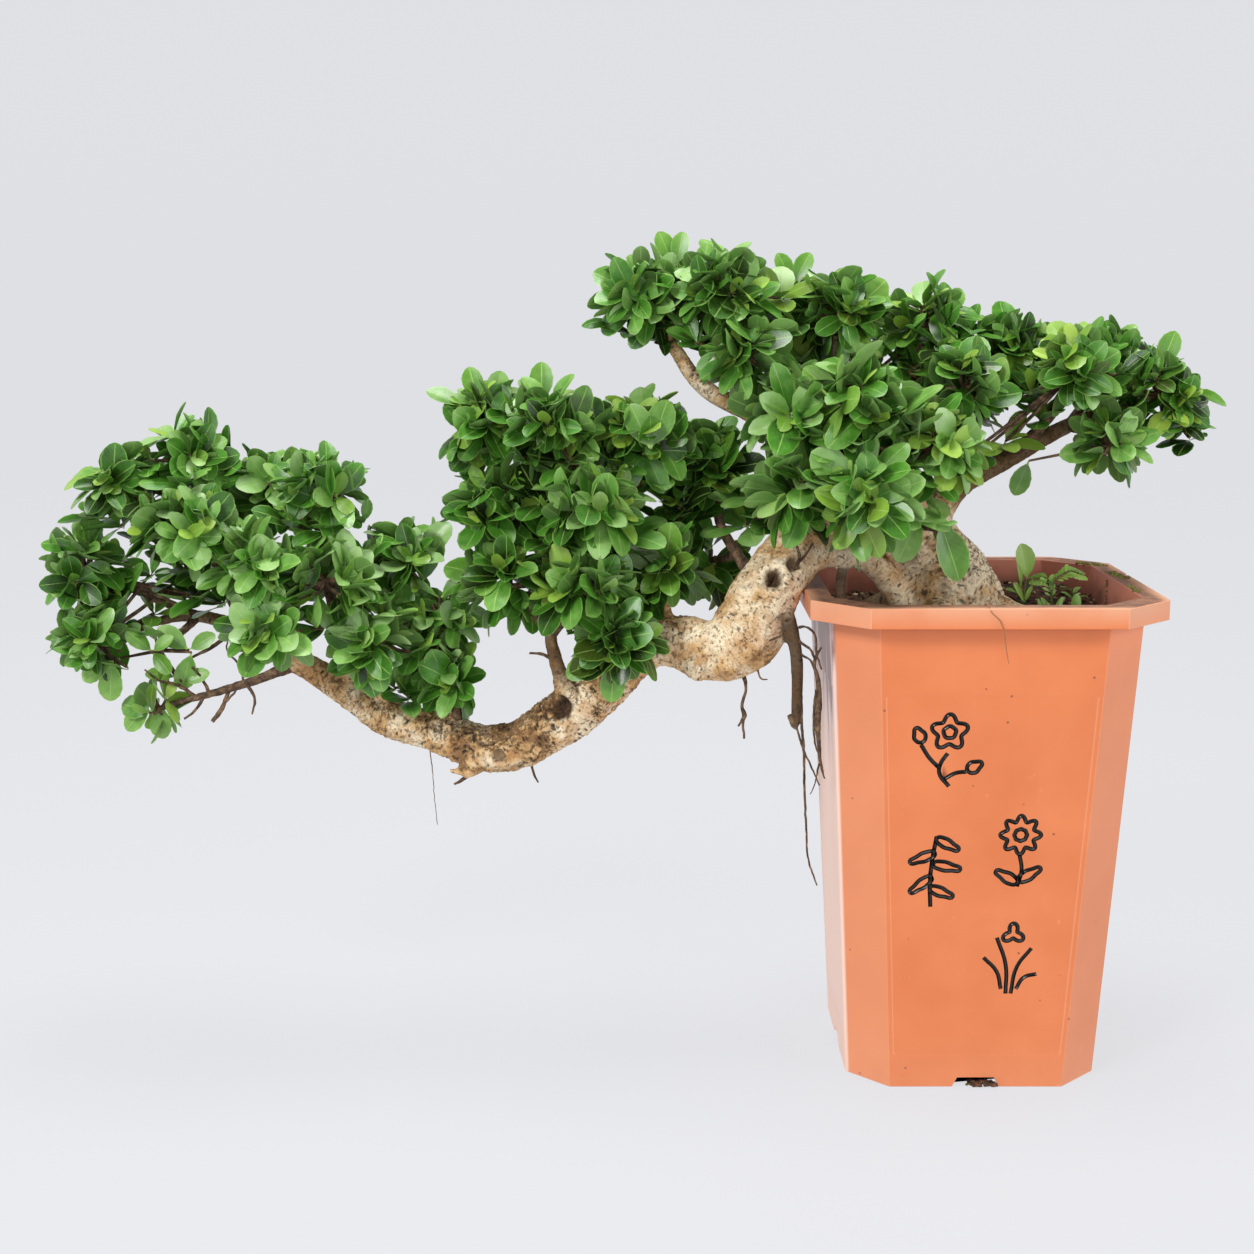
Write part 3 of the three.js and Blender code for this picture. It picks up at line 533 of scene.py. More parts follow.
def grow_tubes(name, limbs, skin=None, sides=3, steps=8, thickness=1, rings=()):
    """Smooth tubes through rows of [x, y, z, radius], as one mesh. Their radii are in units of
    the thickness, and the lines whose numbers are in rings come back to their start."""
    grown = bpy.data.curves.new(name, "CURVE")
    grown.dimensions = "3D"
    grown.bevel_depth = thickness * MM
    grown.bevel_resolution = sides
    grown.resolution_u = steps
    grown.use_fill_caps = True
    for number, limb in enumerate(limbs):
        spline = grown.splines.new("BEZIER")
        spline.bezier_points.add(len(limb) - 1)
        spline.use_cyclic_u = number in rings
        for knot, (x, y, z, radius) in zip(spline.bezier_points, limb):
            knot.co = place(x, y, z)
            knot.radius = radius
            knot.handle_left_type = "AUTO"
            knot.handle_right_type = "AUTO"
    tubes = bpy.data.objects.new(name, grown)
    bpy.context.collection.objects.link(tubes)
    make_active(tubes)
    bpy.ops.object.convert(target="MESH")
    bpy.ops.object.shade_smooth()
    if skin:
        tubes.data.materials.append(skin)
    return tubes


# Each drawing is a list of lines, as [x, height] in mm from its middle; a True closes the line
blossom_twig = [
    (moved(flower_outline(14.5, 5, 0.17), 3, 13), True),
    (moved(flower_outline(5, 5, 0.04), 3, 13), True),
    ([(2, -4), (-3, -12), (-4, -20), (4, -31)], False),
    ([(-4, -16), (-12, -8), (-19, 3)], False),
    (leaf_outline(-18, 5, 12, 9, -25), True),
    ([(0, -25), (9, -20), (17, -19)], False),
    (leaf_outline(18, -18, 12, 9, 60), True),
]
bamboo = [
    ([(-3, -30), (-4, -10), (-3, 8), (0, 29)], False),
    *[(leaf_outline(*leaf), True) for leaf in (
        (0, 27, 19, 7, 118), (-1, 15, 20, 7, -112), (-2, 6, 21, 7, 102), (-3, -5, 20, 7, -128),
        (-4, -14, 19, 7, 112))],
]
daisy = [
    (moved(flower_outline(16, 8, 0.15), 0, 12), True),
    (moved(flower_outline(5, 8, 0.04), 0, 12), True),
    ([(0, -5), (2, -17), (-1, -31)], False),
    (leaf_outline(0, -26, 19, 8, 58), True),
    (leaf_outline(-1, -28, 19, 8, -60), True),
]
orchid = [
    ([(-6, -27), (-10, -12), (-21, 0)], False),
    ([(-2, -31), (-3, -6), (-11, 17)], False),
    ([(2, -31), (6, -8), (17, 8)], False),
    ([(6, -27), (12, -17), (22, -14)], False),
    (moved(flower_outline(9, 3, 0.3), 2, 20), True),
]
drawings = [(blossom_twig, BLOSSOM_MIDDLE), (bamboo, BAMBOO_MIDDLE), (daisy, DAISY_MIDDLE),
            (orchid, ORCHID_MIDDLE)]

lines = [(moved(line, *middle), closed) for drawing, middle in drawings for line, closed in drawing]
grooves = [[(x, -wall_level(z, PANEL_DEPTH)[1], z, 1) for x, z in line] for line, closed in lines]
rings = [i for i, (line, closed) in enumerate(lines) if closed]
cut_away(pot, grow_tubes("pressing_tool", grooves, enamel, sides=2, steps=5,
                         thickness=GROOVE_RADIUS, rings=rings))
make_active(pot)
bpy.ops.object.shade_smooth_by_angle(angle=SMOOTH_BELOW)
apply_modifier(pot, "WEIGHTED_NORMAL", mode="FACE_AREA", weight=100, keep_sharp=True)
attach(pot, "root")
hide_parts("pot")

# The pot is filled with dark, crumbly potting soil, heaped up round the trunk and at the back.
# Its surface is broken by crumbs of peat and by pale grit.
SOIL_LEVEL = 369
SOIL_MOUND, SOIL_MOUND_RADIUS = 9, 75
BACK_MOUND, BACK_MOUND_RADIUS = 13, 58
BACK_MOUND_MIDDLE = (72, 96)
SOIL_SWELL, SOIL_CLODS, CLOD_SPACING = 1.2, 1.9, 7
TRUNK_FOOT_X = -15
SOIL_CELLS = 84
SOIL_GAP = 0.35
SOIL_BLACK, SOIL_BROWN, SOIL_RED = "241913", "5C4130", "845238"


def soil_height(x, y):
    """The soil's height in millimetres, at a place measured from the pot's middle"""
    from_trunk = math.hypot(x - TRUNK_FOOT_X, y) / SOIL_MOUND_RADIUS
    from_back = math.dist((x, y), BACK_MOUND_MIDDLE) / BACK_MOUND_RADIUS
    swell = math.sin(x * 0.19 + 2) * math.cos(y * 0.23) + math.sin(x * 0.07 - y * 0.11)
    clods = noise.fractal(Vector((x, y, 0)) / CLOD_SPACING, 0.8, 2.1, 4)
    mounds = SOIL_MOUND * math.exp(-from_trunk ** 2) + BACK_MOUND * math.exp(-from_back ** 2)
    return SOIL_LEVEL + mounds + SOIL_SWELL * swell + SOIL_CLODS * clods


def mottled_material(name, roughness, ior, grain, stops, relief=None):
    """A dry, uneven material. The grain is [size in mm, detail, roughness] of its mottling, and
    the relief [strength, depth in mm]."""
    material, shader = new_material(name, roughness, ior)
    spot = add_node(material, "ShaderNodeTexCoord").outputs["Object"]
    mottle = add_node(material, "ShaderNodeTexNoise", {},
                      {"Vector": spot, "Scale": per(grain[0]), "Detail": grain[1],
                       "Roughness": grain[2]})
    tone = add_node(material, "ShaderNodeValToRGB", {}, {"Fac": mottle}, stops)
    set_inputs(material, shader, {"Base Color": tone})
    if relief:
        bump = add_node(material, "ShaderNodeBump", {},
                        {"Height": mottle, "Strength": relief[0], "Distance": relief[1] * MM})
        set_inputs(material, shader, {"Normal": bump})
    return material


bpy.ops.mesh.primitive_grid_add(x_subdivisions=SOIL_CELLS, y_subdivisions=SOIL_CELLS,
                                size=2 * MOUTH_HALF * MM, location=place(0, 0, 0))
bpy.ops.object.transform_apply(location=True)
soil = bpy.context.object
soil.name = "potting_soil"
bpy.ops.object.mode_set(mode="EDIT")
bpy.ops.mesh.select_all(action="SELECT")
bpy.ops.mesh.extrude_region_move()
bpy.ops.object.mode_set(mode="OBJECT")
for vertex in soil.data.vertices:
    if vertex.select:
        x = (vertex.co.x - POT_MIDDLE.x) / MM
        y = (vertex.co.y - POT_MIDDLE.y) / MM
        vertex.co.z = soil_height(x, y) * MM
bpy.ops.object.mode_set(mode="EDIT")
turn_faces()
room_inside = raise_rings([
    wall_level(FLOOR_TOP + SOIL_GAP, WALL + SOIL_GAP),
    wall_level(NECK, WALL + SOIL_GAP),
    (POT_HEIGHT + 10, MOUTH_HALF - SOIL_GAP, MOUTH_CUT - SOIL_GAP),
], "room_inside")
apply_modifier(soil, "BOOLEAN", operation="INTERSECT", object=room_inside, solver="EXACT")
bpy.data.objects.remove(room_inside)

peat = mottled_material("moist_peat_soil", 0.95, 1.4, (5, 8.0, 0.5),
                        [(0.36, SOIL_BLACK), (0.56, SOIL_BROWN), (0.72, SOIL_RED)], (0.9, 1.5))
soil.data.materials.clear()
soil.data.materials.append(peat)
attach(soil, "root")
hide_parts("soil")

# Loose crumbs of peat and grains of grit lie on the soil, and a few crumbs have been washed out
# under the pot's front notch, packed close so that they also stand in for the shade inside it, as
# painted shade. Each is a small knobbly stone.
CRUMB_COUNT, GRIT_COUNT = 470, 230
CRUMB_SIZE, GRIT_SIZE = (1.4, 3.4), (1.2, 3.0)
# The crumbs under the front notch are partly painted shade for the dark inside of the notch
WASHED_COUNT, WASHED_SIZE = 36, (1.4, 3.0)
WASHED_X, WASHED_Y = (-6, 18), (-104, -95)
GRIT_PALE, GRIT_TAN, GRIT_OLIVE = "CDBB93", "A98B5E", "6E6A3C"
WOOD_FOOT_RADIUS = 50
STONE_KNOBS, STONE_FLATNESS, STONE_TILT, STONE_LIFT = 0.45, 0.72, 1.2, 0.25
FULL_TURN = 6.28


def chance(group, item, part, use):
    """A repeatable number from 0 to 1"""
    wave = math.sin(group * 127.1 + item * 311.7 + part * 74.7 + use * 19.3) * 43758.5453
    return wave - math.floor(wave)


def between(limits, share):
    """The value at a share of the way from one limit to the other"""
    return limits[0] + (limits[1] - limits[0]) * share


def join_pieces(pieces, name):
    """Joins several objects into one named piece"""
    bpy.ops.object.select_all(action="DESELECT")
    for piece in pieces:
        piece.select_set(True)
    bpy.context.view_layer.objects.active = pieces[0]
    bpy.ops.object.join()
    pieces[0].name = name
    return pieces[0]


def copy_of(model, matrix):
    """A copy of a model with its own mesh, which is moved instead of the object"""
    copy = bpy.data.objects.new(model.name, model.data.copy())
    copy.data.transform(matrix)
    bpy.context.collection.objects.link(copy)
    return copy


def knobbly_stone(name, material, seed):
    """A small flattened stone round the origin"""
    bpy.ops.mesh.primitive_ico_sphere_add(subdivisions=2, radius=1)
    stone = bpy.context.object
    stone.name = name
    for vertex in stone.data.vertices:
        vertex.co *= 1 + STONE_KNOBS * noise.noise(vertex.co * 1.3 + Vector((seed, 0, 0)))
        vertex.co.z *= STONE_FLATNESS
    stone.data.materials.append(material)
    bpy.ops.object.shade_smooth()
    return stone


def scatter(model, count, sizes, seed):
    """Copies of a stone lying on the soil, at repeatable places"""
    lying = []
    for i in range(count):
        x = (2 * chance(seed, i, 0, 1) - 1) * MOUTH_HALF
        y = (2 * chance(seed, i, 0, 2) - 1) * MOUTH_HALF
        clear = math.hypot(x - TRUNK_FOOT_X, y) > WOOD_FOOT_RADIUS
        if not (within_mouth(x, y, 3) and clear):
            continue
        size = between(sizes, chance(seed, i, 0, 3) ** 2)
        turn = Matrix.Rotation(FULL_TURN * chance(seed, i, 0, 4), 4, "Z")
        tilt = Matrix.Rotation(STONE_TILT * (chance(seed, i, 0, 5) - 0.5), 4, "X")
        spot = Matrix.Translation(place(x, y, soil_height(x, y) + STONE_LIFT * size))
        lying.append(copy_of(model, spot @ turn @ tilt @ Matrix.Scale(size * MM, 4)))
    return lying


grit = mottled_material("river_grit", 0.8, 1.5, (7, 3.0, 0.5),
                        [(0.34, GRIT_OLIVE), (0.5, GRIT_TAN), (0.66, GRIT_PALE)])
crumb_model = knobbly_stone("crumb", peat, 3)
grit_model = knobbly_stone("grit", grit, 8)
washed_out = []
for i in range(WASHED_COUNT):
    size = between(WASHED_SIZE, chance(203, i, 0, 1))
    x, y = between(WASHED_X, chance(203, i, 0, 2)), between(WASHED_Y, chance(203, i, 0, 3))
    spot = place(x, y, size)
    washed_out.append(copy_of(crumb_model, Matrix.Translation(spot) @ Matrix.Scale(size * MM, 4)))
lying = scatter(crumb_model, CRUMB_COUNT, CRUMB_SIZE, 201)
crumbs = join_pieces(lying + washed_out, "soil_crumbs")
stones = join_pieces(scatter(grit_model, GRIT_COUNT, GRIT_SIZE, 202), "soil_grit")
for model in (crumb_model, grit_model):
    bpy.data.objects.remove(model)
for piece in (crumbs, stones):
    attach(piece, "root")

# The wood is one living piece: a thick trunk leaves the soil, arches over the rim and falls to
# the left as a long limb. Roots spread in the soil, cross the rim and hang beside the pot. Its
# bark is thin and pale on the swollen trunk, and cracked into small plates on the old limb.
WOOD = [
    [[-8, 0, 322, 46], [-17, 0, 381, 47], [-38, 0, 420, 40], [-63, -3, 446, 35], [-92, -9, 456, 32],
     [-122, -18, 448, 27], [-148, -28, 425, 26], [-173, -40, 391, 29], [-187, -45, 364, 32],
     [-211, -45, 350, 26], [-240, -42, 356, 22], [-262, -40, 355, 21], [-295, -35, 326, 23],
     [-338, -30, 288, 23], [-384, -25, 263, 21], [-438, -20, 275, 18], [-481, -15, 289, 17],
     [-519, -10, 311, 13], [-553, -5, 331, 11], [-584, 2, 342, 8]],
    [[-148, -42, 414, 11], [-125, -42, 426, 10], [-95, -38, 424, 10], [-68, -32, 400, 10],
     [-50, -24, 368, 9]],
    [[-108, -40, 422, 5], [-112, -52, 400, 4.4], [-104, -58, 362, 4]],
    [[-5, -12, 384, 20], [35, -28, 377, 9], [62, -45, 371, 5], [82, -60, 364, 3]],
    [[-5, 18, 384, 20], [28, 50, 375, 8], [48, 74, 366, 4]],
    [[-28, -22, 384, 18], [-34, -62, 375, 8], [-26, -90, 365, 4]],
    [[-36, 12, 386, 18], [-74, 38, 374, 7], [-94, 56, 364, 4]],
    [[-160, -54, 392, 8], [-149, -60, 361, 5.6], [-146, -60, 291, 4.6]],
    [[-398, -25, 258, 9], [-415, -32, 246, 4], [-430, -34, 247, 2]],
]

# Every spray of leaves: the branch that carries it, its centre, and its reach along x, y and z
SPRAYS = {
    "crown_left": [
        ([[-90, -5, 450, 18], [-98, 0, 483, 16], [-142, -10, 521, 11], [-183, -10, 540, 9],
          [-220, -10, 559, 7.3], [-244, -5, 590, 6]], (-268, -5, 629), (39, 38, 40)),
        ([[-183, -10, 540, 6], [-196, -20, 585, 5]], (-205, -25, 633), (44, 40, 40)),
        ([[-142, -10, 521, 7], [-146, 20, 565, 5]], (-147, 45, 612), (42, 40, 40)),
        ([[-183, -10, 540, 5], [-187, -35, 566, 4]], (-186, -45, 587), (36, 34, 30)),
        ([[-98, 0, 483, 8], [-112, -8, 545, 5.5]], (-116, -15, 617), (38, 38, 40)),
    ],
    "crown_top": [
        ([[-80, -2, 455, 20], [-66, 6, 492, 12], [-56, 12, 540, 8]], (-39, 20, 608), (41, 40, 39)),
        ([[-66, 6, 492, 6], [-44, -20, 540, 4.5]], (-20, -45, 563), (36, 36, 36)),
        ([[-56, 12, 540, 6], [-10, 28, 568, 4.5]], (34, 35, 584), (40, 38, 37)),
    ],
    "right_tier": [
        ([[34, 20, 500, 6], [66, 2, 540, 4.2]], (77, -15, 574), (36, 38, 38)),
        ([[83, 25, 526, 5], [106, 40, 555, 4]], (121, 50, 579), (38, 38, 38)),
        ([[-40, 5, 440, 20], [-10, 14, 478, 13], [34, 20, 500, 8.5], [83, 25, 526, 6.6],
          [118, 18, 540, 5]], (151, 0, 553), (44, 42, 42)),
        ([[83, 25, 526, 5], [98, -2, 520, 3.6]], (107, -20, 514), (31, 32, 28)),
    ],
    "front_tier": [
        ([[-98, -72, 505, 5], [-130, -70, 522, 4]], (-155, -65, 541), (38, 38, 35)),
        ([[-85, -15, 455, 14], [-95, -50, 482, 9], [-98, -72, 505, 6.5]], (-103, -85, 554),
         (39, 38, 36)),
        ([[-98, -72, 505, 5], [-68, -76, 512, 4]], (-43, -75, 518), (43, 40, 37)),
        ([[-95, -50, 482, 5.5], [-125, -75, 484, 4]], (-148, -85, 484), (37, 36, 35)),
        ([[-95, -50, 482, 5.5], [-97, -85, 480, 4]], (-96, -105, 479), (37, 38, 37)),
        ([[-95, -50, 482, 5.5], [-62, -80, 462, 4]], (-44, -95, 454), (33, 34, 33)),
    ],
    "back_tier": [
        ([[-66, 6, 492, 8], [-74, 38, 505, 6]], (-77, 60, 528), (42, 40, 38)),
        ([[-74, 38, 505, 5.5], [-35, 60, 528, 4.6]], (2, 80, 544), (38, 38, 38)),
    ],
    "middle_tier": [
        ([[-312, -26, 490, 4.4], [-360, -14, 512, 4]], (-402, -5, 529), (38, 38, 41)),
        ([[-278, -20, 415, 6.4], [-312, -26, 490, 4.8]], (-344, -35, 531), (40, 38, 38)),
        ([[-264, -38, 356, 11], [-278, -20, 415, 7.5], [-276, -8, 470, 5.5]], (-272, -5, 516),
         (45, 42, 41)),
        ([[-326, -36, 298, 11], [-332, -50, 318, 8], [-340, -52, 343, 6], [-344, -50, 363, 5.4],
          [-335, -52, 410, 5]], (-312, -60, 466), (46, 42, 40)),
        ([[-335, -52, 410, 5], [-362, -34, 440, 4.2]], (-386, -20, 461), (41, 40, 41)),
        ([[-344, -50, 363, 4.6], [-362, -48, 385, 4]], (-377, -45, 403), (39, 38, 36)),
        ([[-344, -50, 363, 4.6], [-326, -62, 386, 4]], (-312, -70, 403), (40, 38, 34)),
        ([[-252, -40, 356, 9], [-252, -38, 390, 5]], (-252, -35, 414), (36, 36, 36)),
        ([[-176, -32, 402, 7], [-192, -12, 423, 5], [-207, 0, 450, 4.2]], (-210, 25, 489),
         (37, 38, 46)),
        ([[-192, -12, 423, 4.4], [-204, 15, 416, 3.4]], (-213, 35, 412), (31, 34, 34)),
        ([[-286, -38, 332, 10], [-288, -62, 350, 5]], (-288, -80, 365), (30, 30, 28)),
        ([[-278, -20, 415, 6], [-305, 15, 448, 4.8]], (-331, 50, 478), (42, 40, 42)),
    ],
    "end_tier": [
        ([[-600, 18, 352, 6.6], [-622, 12, 410, 6], [-638, 4, 465, 5]], (-644, 0, 504),
         (38, 38, 39)),
        ([[-638, 4, 465, 4.6], [-670, -3, 476, 4]], (-696, -10, 484), (36, 36, 37)),
        ([[-622, 12, 410, 4.6], [-629, -20, 432, 4]], (-634, -55, 449), (44, 40, 36)),
        ([[-643, 22, 366, 4.6], [-690, 8, 390, 4]], (-729, -5, 410), (36, 38, 37)),
        ([[-576, 0, 340, 8], [-600, 18, 352, 7], [-643, 22, 366, 5.5], [-685, 5, 362, 4]],
         (-720, -20, 354), (41, 38, 34)),
        ([[-622, 12, 410, 4.6], [-631, 34, 440, 4]], (-636, 50, 461), (38, 38, 38)),
        ([[-527, -6, 420, 5], [-558, 10, 450, 4.2]], (-584, 25, 472), (36, 38, 37)),
        ([[-512, -11, 306, 11], [-520, -8, 360, 8], [-527, -6, 420, 6]], (-530, -5, 472),
         (40, 40, 41)),
        ([[-556, -38, 350, 4.6], [-566, -50, 388, 4]], (-574, -60, 418), (40, 38, 36)),
        ([[-520, -8, 360, 5.5], [-523, -32, 388, 4.4]], (-525, -50, 408), (38, 38, 36)),
        ([[-436, -12, 325, 5], [-452, 4, 375, 4.4]], (-468, 15, 415), (42, 40, 40)),
        ([[-550, -5, 329, 9], [-556, -38, 350, 5]], (-562, -70, 371), (38, 36, 31)),
        ([[-484, -15, 292, 9], [-488, -32, 330, 5]], (-490, -45, 358), (36, 36, 36)),
        ([[-430, -20, 276, 9], [-436, -12, 325, 5.5]], (-437, -5, 368), (41, 38, 41)),
        ([[-424, -21, 276, 7], [-424, -20, 304, 4]], (-424, -20, 322), (34, 32, 28)),
        ([[-643, 22, 366, 4.2], [-658, 2, 352, 3.4]], (-668, -15, 344), (38, 34, 29)),
        ([[-556, -5, 332, 7], [-580, -10, 322, 4.6], [-615, -15, 311, 3.8], [-654, -20, 301, 3]],
         (-669, -20, 296), (29, 28, 27)),
    ],
}
TWIG_TIP = 3
sprays = [
    {"name": f"{tier}_{number}", "tier": tier, "wood": wood, "centre": Vector(centre),
     "reach": reach}
    for tier, rows in SPRAYS.items() for number, (wood, centre, reach) in enumerate(rows, start=1)
]
branches = [spray["wood"] + [[*spray["centre"], TWIG_TIP]] for spray in sprays]

THICK_WOOD, HIGH_BRANCH = 7.9, 440
TRUNK_VOXEL, BRANCH_VOXEL = 1.9, 2.1
SAMPLE_SPACING, NEAREST_SAMPLES, GRAIN_SHIFT = 4, 10, 0.3
BARK_PALE, BARK_TAN, BARK_DEEP = "F3E1BF", "D2A974", "8A6640"
BARK_RUST, BARK_DARK, BARK_BLACK = "BC864E", "624629", "2A1C10"
TWIG_BROWN, TWIG_PALE = "5A4330", "8C7152"


def sample_limbs(limbs):
    """Points along every limb with the way it runs, how far along they are and its radius"""
    samples = []
    for number, limb in enumerate(limbs):
        along = 0
        for (x0, y0, z0, r0), (x1, y1, z1, r1) in zip(limb, limb[1:]):
            start, end = place(x0, y0, z0), place(x1, y1, z1)
            steps = max(2, round((end - start).length / (SAMPLE_SPACING * MM)))
            way = (end - start).normalized()
            for i in range(steps):
                share = i / steps
                samples.append((start.lerp(end, share), way, along + (end - start).length * share,
                                (r0 + (r1 - r0) * share) * MM, number))
            along += (end - start).length
    return samples


def bark_places(mesh, limbs):
    """Each vertex's place on its limb, as if that limb were straightened out, with the limb's
    radius and number, and how many radii the vertex lies from the limb's middle"""
    samples = sample_limbs(limbs)
    tree = kdtree.KDTree(len(samples))
    for i, (point, *_) in enumerate(samples):
        tree.insert(point, i)
    tree.balance()
    places = []
    for vertex in mesh.vertices:
        near = min(tree.find_n(vertex.co, NEAREST_SAMPLES),
                   key=lambda found: found[2] / samples[found[1]][3])
        point, way, along, radius, number = samples[near[1]]
        offset = vertex.co - point
        level = Vector((0, 1, 0)).cross(way).normalized()
        side = way.cross(level)
        around = Vector((offset.dot(level), offset.dot(side)))
        around = around.normalized() * radius if around.length > 0 else around
        bark = Vector((along + offset.dot(way), around.x, around.y + GRAIN_SHIFT * number))
        places.append((bark, radius, number, near[2] / radius))
    return places


def smooth_step(value, low, high):
    """A smooth rise from 0 to 1 between two values"""
    share = min(max((value - low) / (high - low), 0), 1)
    return share * share * (3 - 2 * share)


# Old wounds and knots: [x, y, z], reach, how deep the wood is pressed in or raised, how dark
SCARS = [
    ((-167, -66, 413), 11, -11, 1.0), ((-181, -60, 424), 9, 3.5, 0.0),
    ((-150, -58, 422), 8, -5, 0.8), ((-337, -55, 304), 13.5, -7, 1.0),
    ((-60, -36, 430), 12, -7, 0.9), ((-44, -42, 404), 6, -4, 0.6),
    ((-352, -48, 276), 7, -3, 0.5), ((-300, -50, 332), 6, -3, 0.5),
    ((-360, -42, 262), 12, 4.5, 0.0), ((-455, -36, 284), 11, 4, 0.0),
    ((-388, -45, 262), 7, -3, 0.7), ((-412, -36, 250), 13, 3.5, 0.0),
    ((-205, -68, 338), 14, 3.5, 0.0), ((-228, -62, 330), 12, 4, 0.0),
    ((-300, -52, 312), 12, 3, 0.0), ((-497, -28, 302), 10, 3.5, 0.0),
    ((-20, -52, 388), 16, 3, 0.0), ((-75, 34, 440), 16, 4, 0.0),
    ((-250, -20, 368), 14, 3, 0.0), ((-330, -8, 280), 14, 4, 0.0),
]
# A scar's bowl, the raised lip round a dark one and its dark skin, as shares of its reach
SCAR_REACH, SCAR_BOWL, SCAR_SKIN = 1.8, (0.35, 0.95), (0.72, 0.92)
DARK_SCAR, LIP_HEIGHT, LIP_MIDDLE, LIP_WIDTH = 0.6, 2.2, 1.2, 0.25
SCAR_RAGGEDNESS, SCAR_GRAIN = 0.3, 130
# Where the bark changes, in metres: with the limb's radius, with the distance to the right or the
# left of the pot's middle, and with the height
STOUT_LIMB = (0.006, 0.024)
FOOT_START, FOOT_TOP = (-0.085, -0.05), (0.42, 0.46)
OLD_BARK, CROWN_WOOD = (0.19, 0.3), (0.452, 0.482)
# Relief in mm, and how many lumps, wrinkles, plates and patches there are to a metre
LUMP_HEIGHT, LUMP_GRAIN = 3.2, 24
WRINKLES_ALONG, WRINKLES_ROUND = 260, 90
CRACK_DEPTH, CRACK_EDGE = 1.7, (0.02, 0.14)
PLATE_GRAIN, PLATE_BEND, BEND_GRAIN, CRACKED_PATCHES = 125, 0.9, 80, 45
DIRT_PATCHES = 34
# How dark the skin of two roots is painted, by their number in the wood, and how far along it
# starts, in metres: painted shade, as both hang in the shade under the arch. The same for the
# branches. It fades out where the skin belongs to the trunk.
DARK_ROOTS = {2: (0.95, -0.01), 7: (0.95, -0.004)}
DARK_HIGH_BRANCH, DARK_LOW_BRANCH = (0.22, 0.03), (0.74, 0.02)
DARK_FADE, OWN_SKIN = 0.026, (1.25, 1.8)


def shape_bark(piece, limbs, fine, darkness):
    """Raises lumps and cuts cracks in the wood, and notes both for the bark's colours"""
    mesh = piece.data
    places = bark_places(mesh, limbs)
    normals = [vertex.normal.copy() for vertex in mesh.vertices]
    notes = {"bark_place": [], "bark_hollow": [], "bark_age_and_foot_light": [], "bark_wound_and_dark_skin": [], "bark_dirt": []}
    scars = [(place(*middle), reach * MM, depth, dark) for middle, reach, depth, dark in SCARS]
    for vertex, normal, (bark, radius, number, loose) in zip(mesh.vertices, normals, places):
        spot = vertex.co.copy()
        from_pot = spot - POT_MIDDLE
        stout = smooth_step(radius, *STOUT_LIMB)
        foot = smooth_step(from_pot.x, *FOOT_START) * (1 - smooth_step(spot.z, *FOOT_TOP))
        tanned = max(smooth_step(-from_pot.x, *OLD_BARK), smooth_step(spot.z, *CROWN_WOOD))
        old = max(tanned, 0.85 * foot)

        lump = noise.fractal(spot * LUMP_GRAIN, 0.9, 2.0, 2) * LUMP_HEIGHT * stout
        grain = Vector((bark.x * WRINKLES_ALONG, bark.y * WRINKLES_ROUND, bark.z * WRINKLES_ROUND))
        wrinkle = noise.fractal(grain, 0.8, 2.1, 3)
        bend = PLATE_BEND * noise.noise_vector(spot * BEND_GRAIN)
        cells = noise.voronoi(spot * PLATE_GRAIN + bend)[0]
        crack = 1 - smooth_step(cells[1] - cells[0], *CRACK_EDGE)
        cut = crack * smooth_step(noise.noise(spot * CRACKED_PATCHES), -0.25, 0.0) * old * stout
        raise_by = lump + wrinkle * (0.3 + 0.6 * old) * (0.35 + stout) - CRACK_DEPTH * cut * fine

        patchy = smooth_step(noise.noise(spot * DIRT_PATCHES), -0.35, 0.35)
        dirt = max(tanned, 0.45 * foot) * (0.25 + 0.75 * smooth_step(normal.z, -0.1, 0.8)) * patchy
        # The two roots under the arch get a near-black skin from their start: painted shade
        dark_skin, dark_from = darkness[number]
        wound_and_dark_skin = dark_skin * smooth_step(bark.x, dark_from, dark_from + DARK_FADE)
        wound_and_dark_skin *= 1 - smooth_step(loose, *OWN_SKIN)
        ragged = 1 + SCAR_RAGGEDNESS * noise.noise(spot * SCAR_GRAIN)
        for middle, reach, depth, dark in scars:
            far = (spot - middle).length / reach * ragged
            if far < SCAR_REACH:
                raise_by += depth * (1 - smooth_step(far, *SCAR_BOWL))
                if dark > DARK_SCAR:
                    raise_by += LIP_HEIGHT * math.exp(-((far - LIP_MIDDLE) / LIP_WIDTH) ** 2)
                wound_and_dark_skin = max(wound_and_dark_skin, dark * (1 - smooth_step(far, *SCAR_SKIN)))
        vertex.co += normal * raise_by * MM

        notes["bark_place"].extend(bark)
        notes["bark_hollow"].append(min(max(0.6 * cut - 0.4 * wrinkle, 0), 1))
        # The trunk's foot is painted lighter, as painted light against the shade of the foliage
        # over it
        notes["bark_age_and_foot_light"].append(tanned - 0.6 * foot)
        notes["bark_wound_and_dark_skin"].append(wound_and_dark_skin)
        notes["bark_dirt"].append(dirt)
    for name, values in notes.items():
        kind, key = ("FLOAT_VECTOR", "vector") if name == "bark_place" else ("FLOAT", "value")
        mesh.attributes.new(name, kind, "POINT").data.foreach_set(key, values)
    make_active(piece)
    bpy.ops.object.shade_smooth()


thick_limbs = WOOD + [branch for branch in branches if branch[0][3] >= THICK_WOOD]
thin_limbs = [branch for branch in branches if branch[0][3] < THICK_WOOD]
darkness = [DARK_ROOTS.get(number, (0, 0)) for number in range(len(WOOD))]
darkness += [DARK_HIGH_BRANCH if limb[0][2] > HIGH_BRANCH else DARK_LOW_BRANCH
             for limb in thick_limbs[len(WOOD):]]

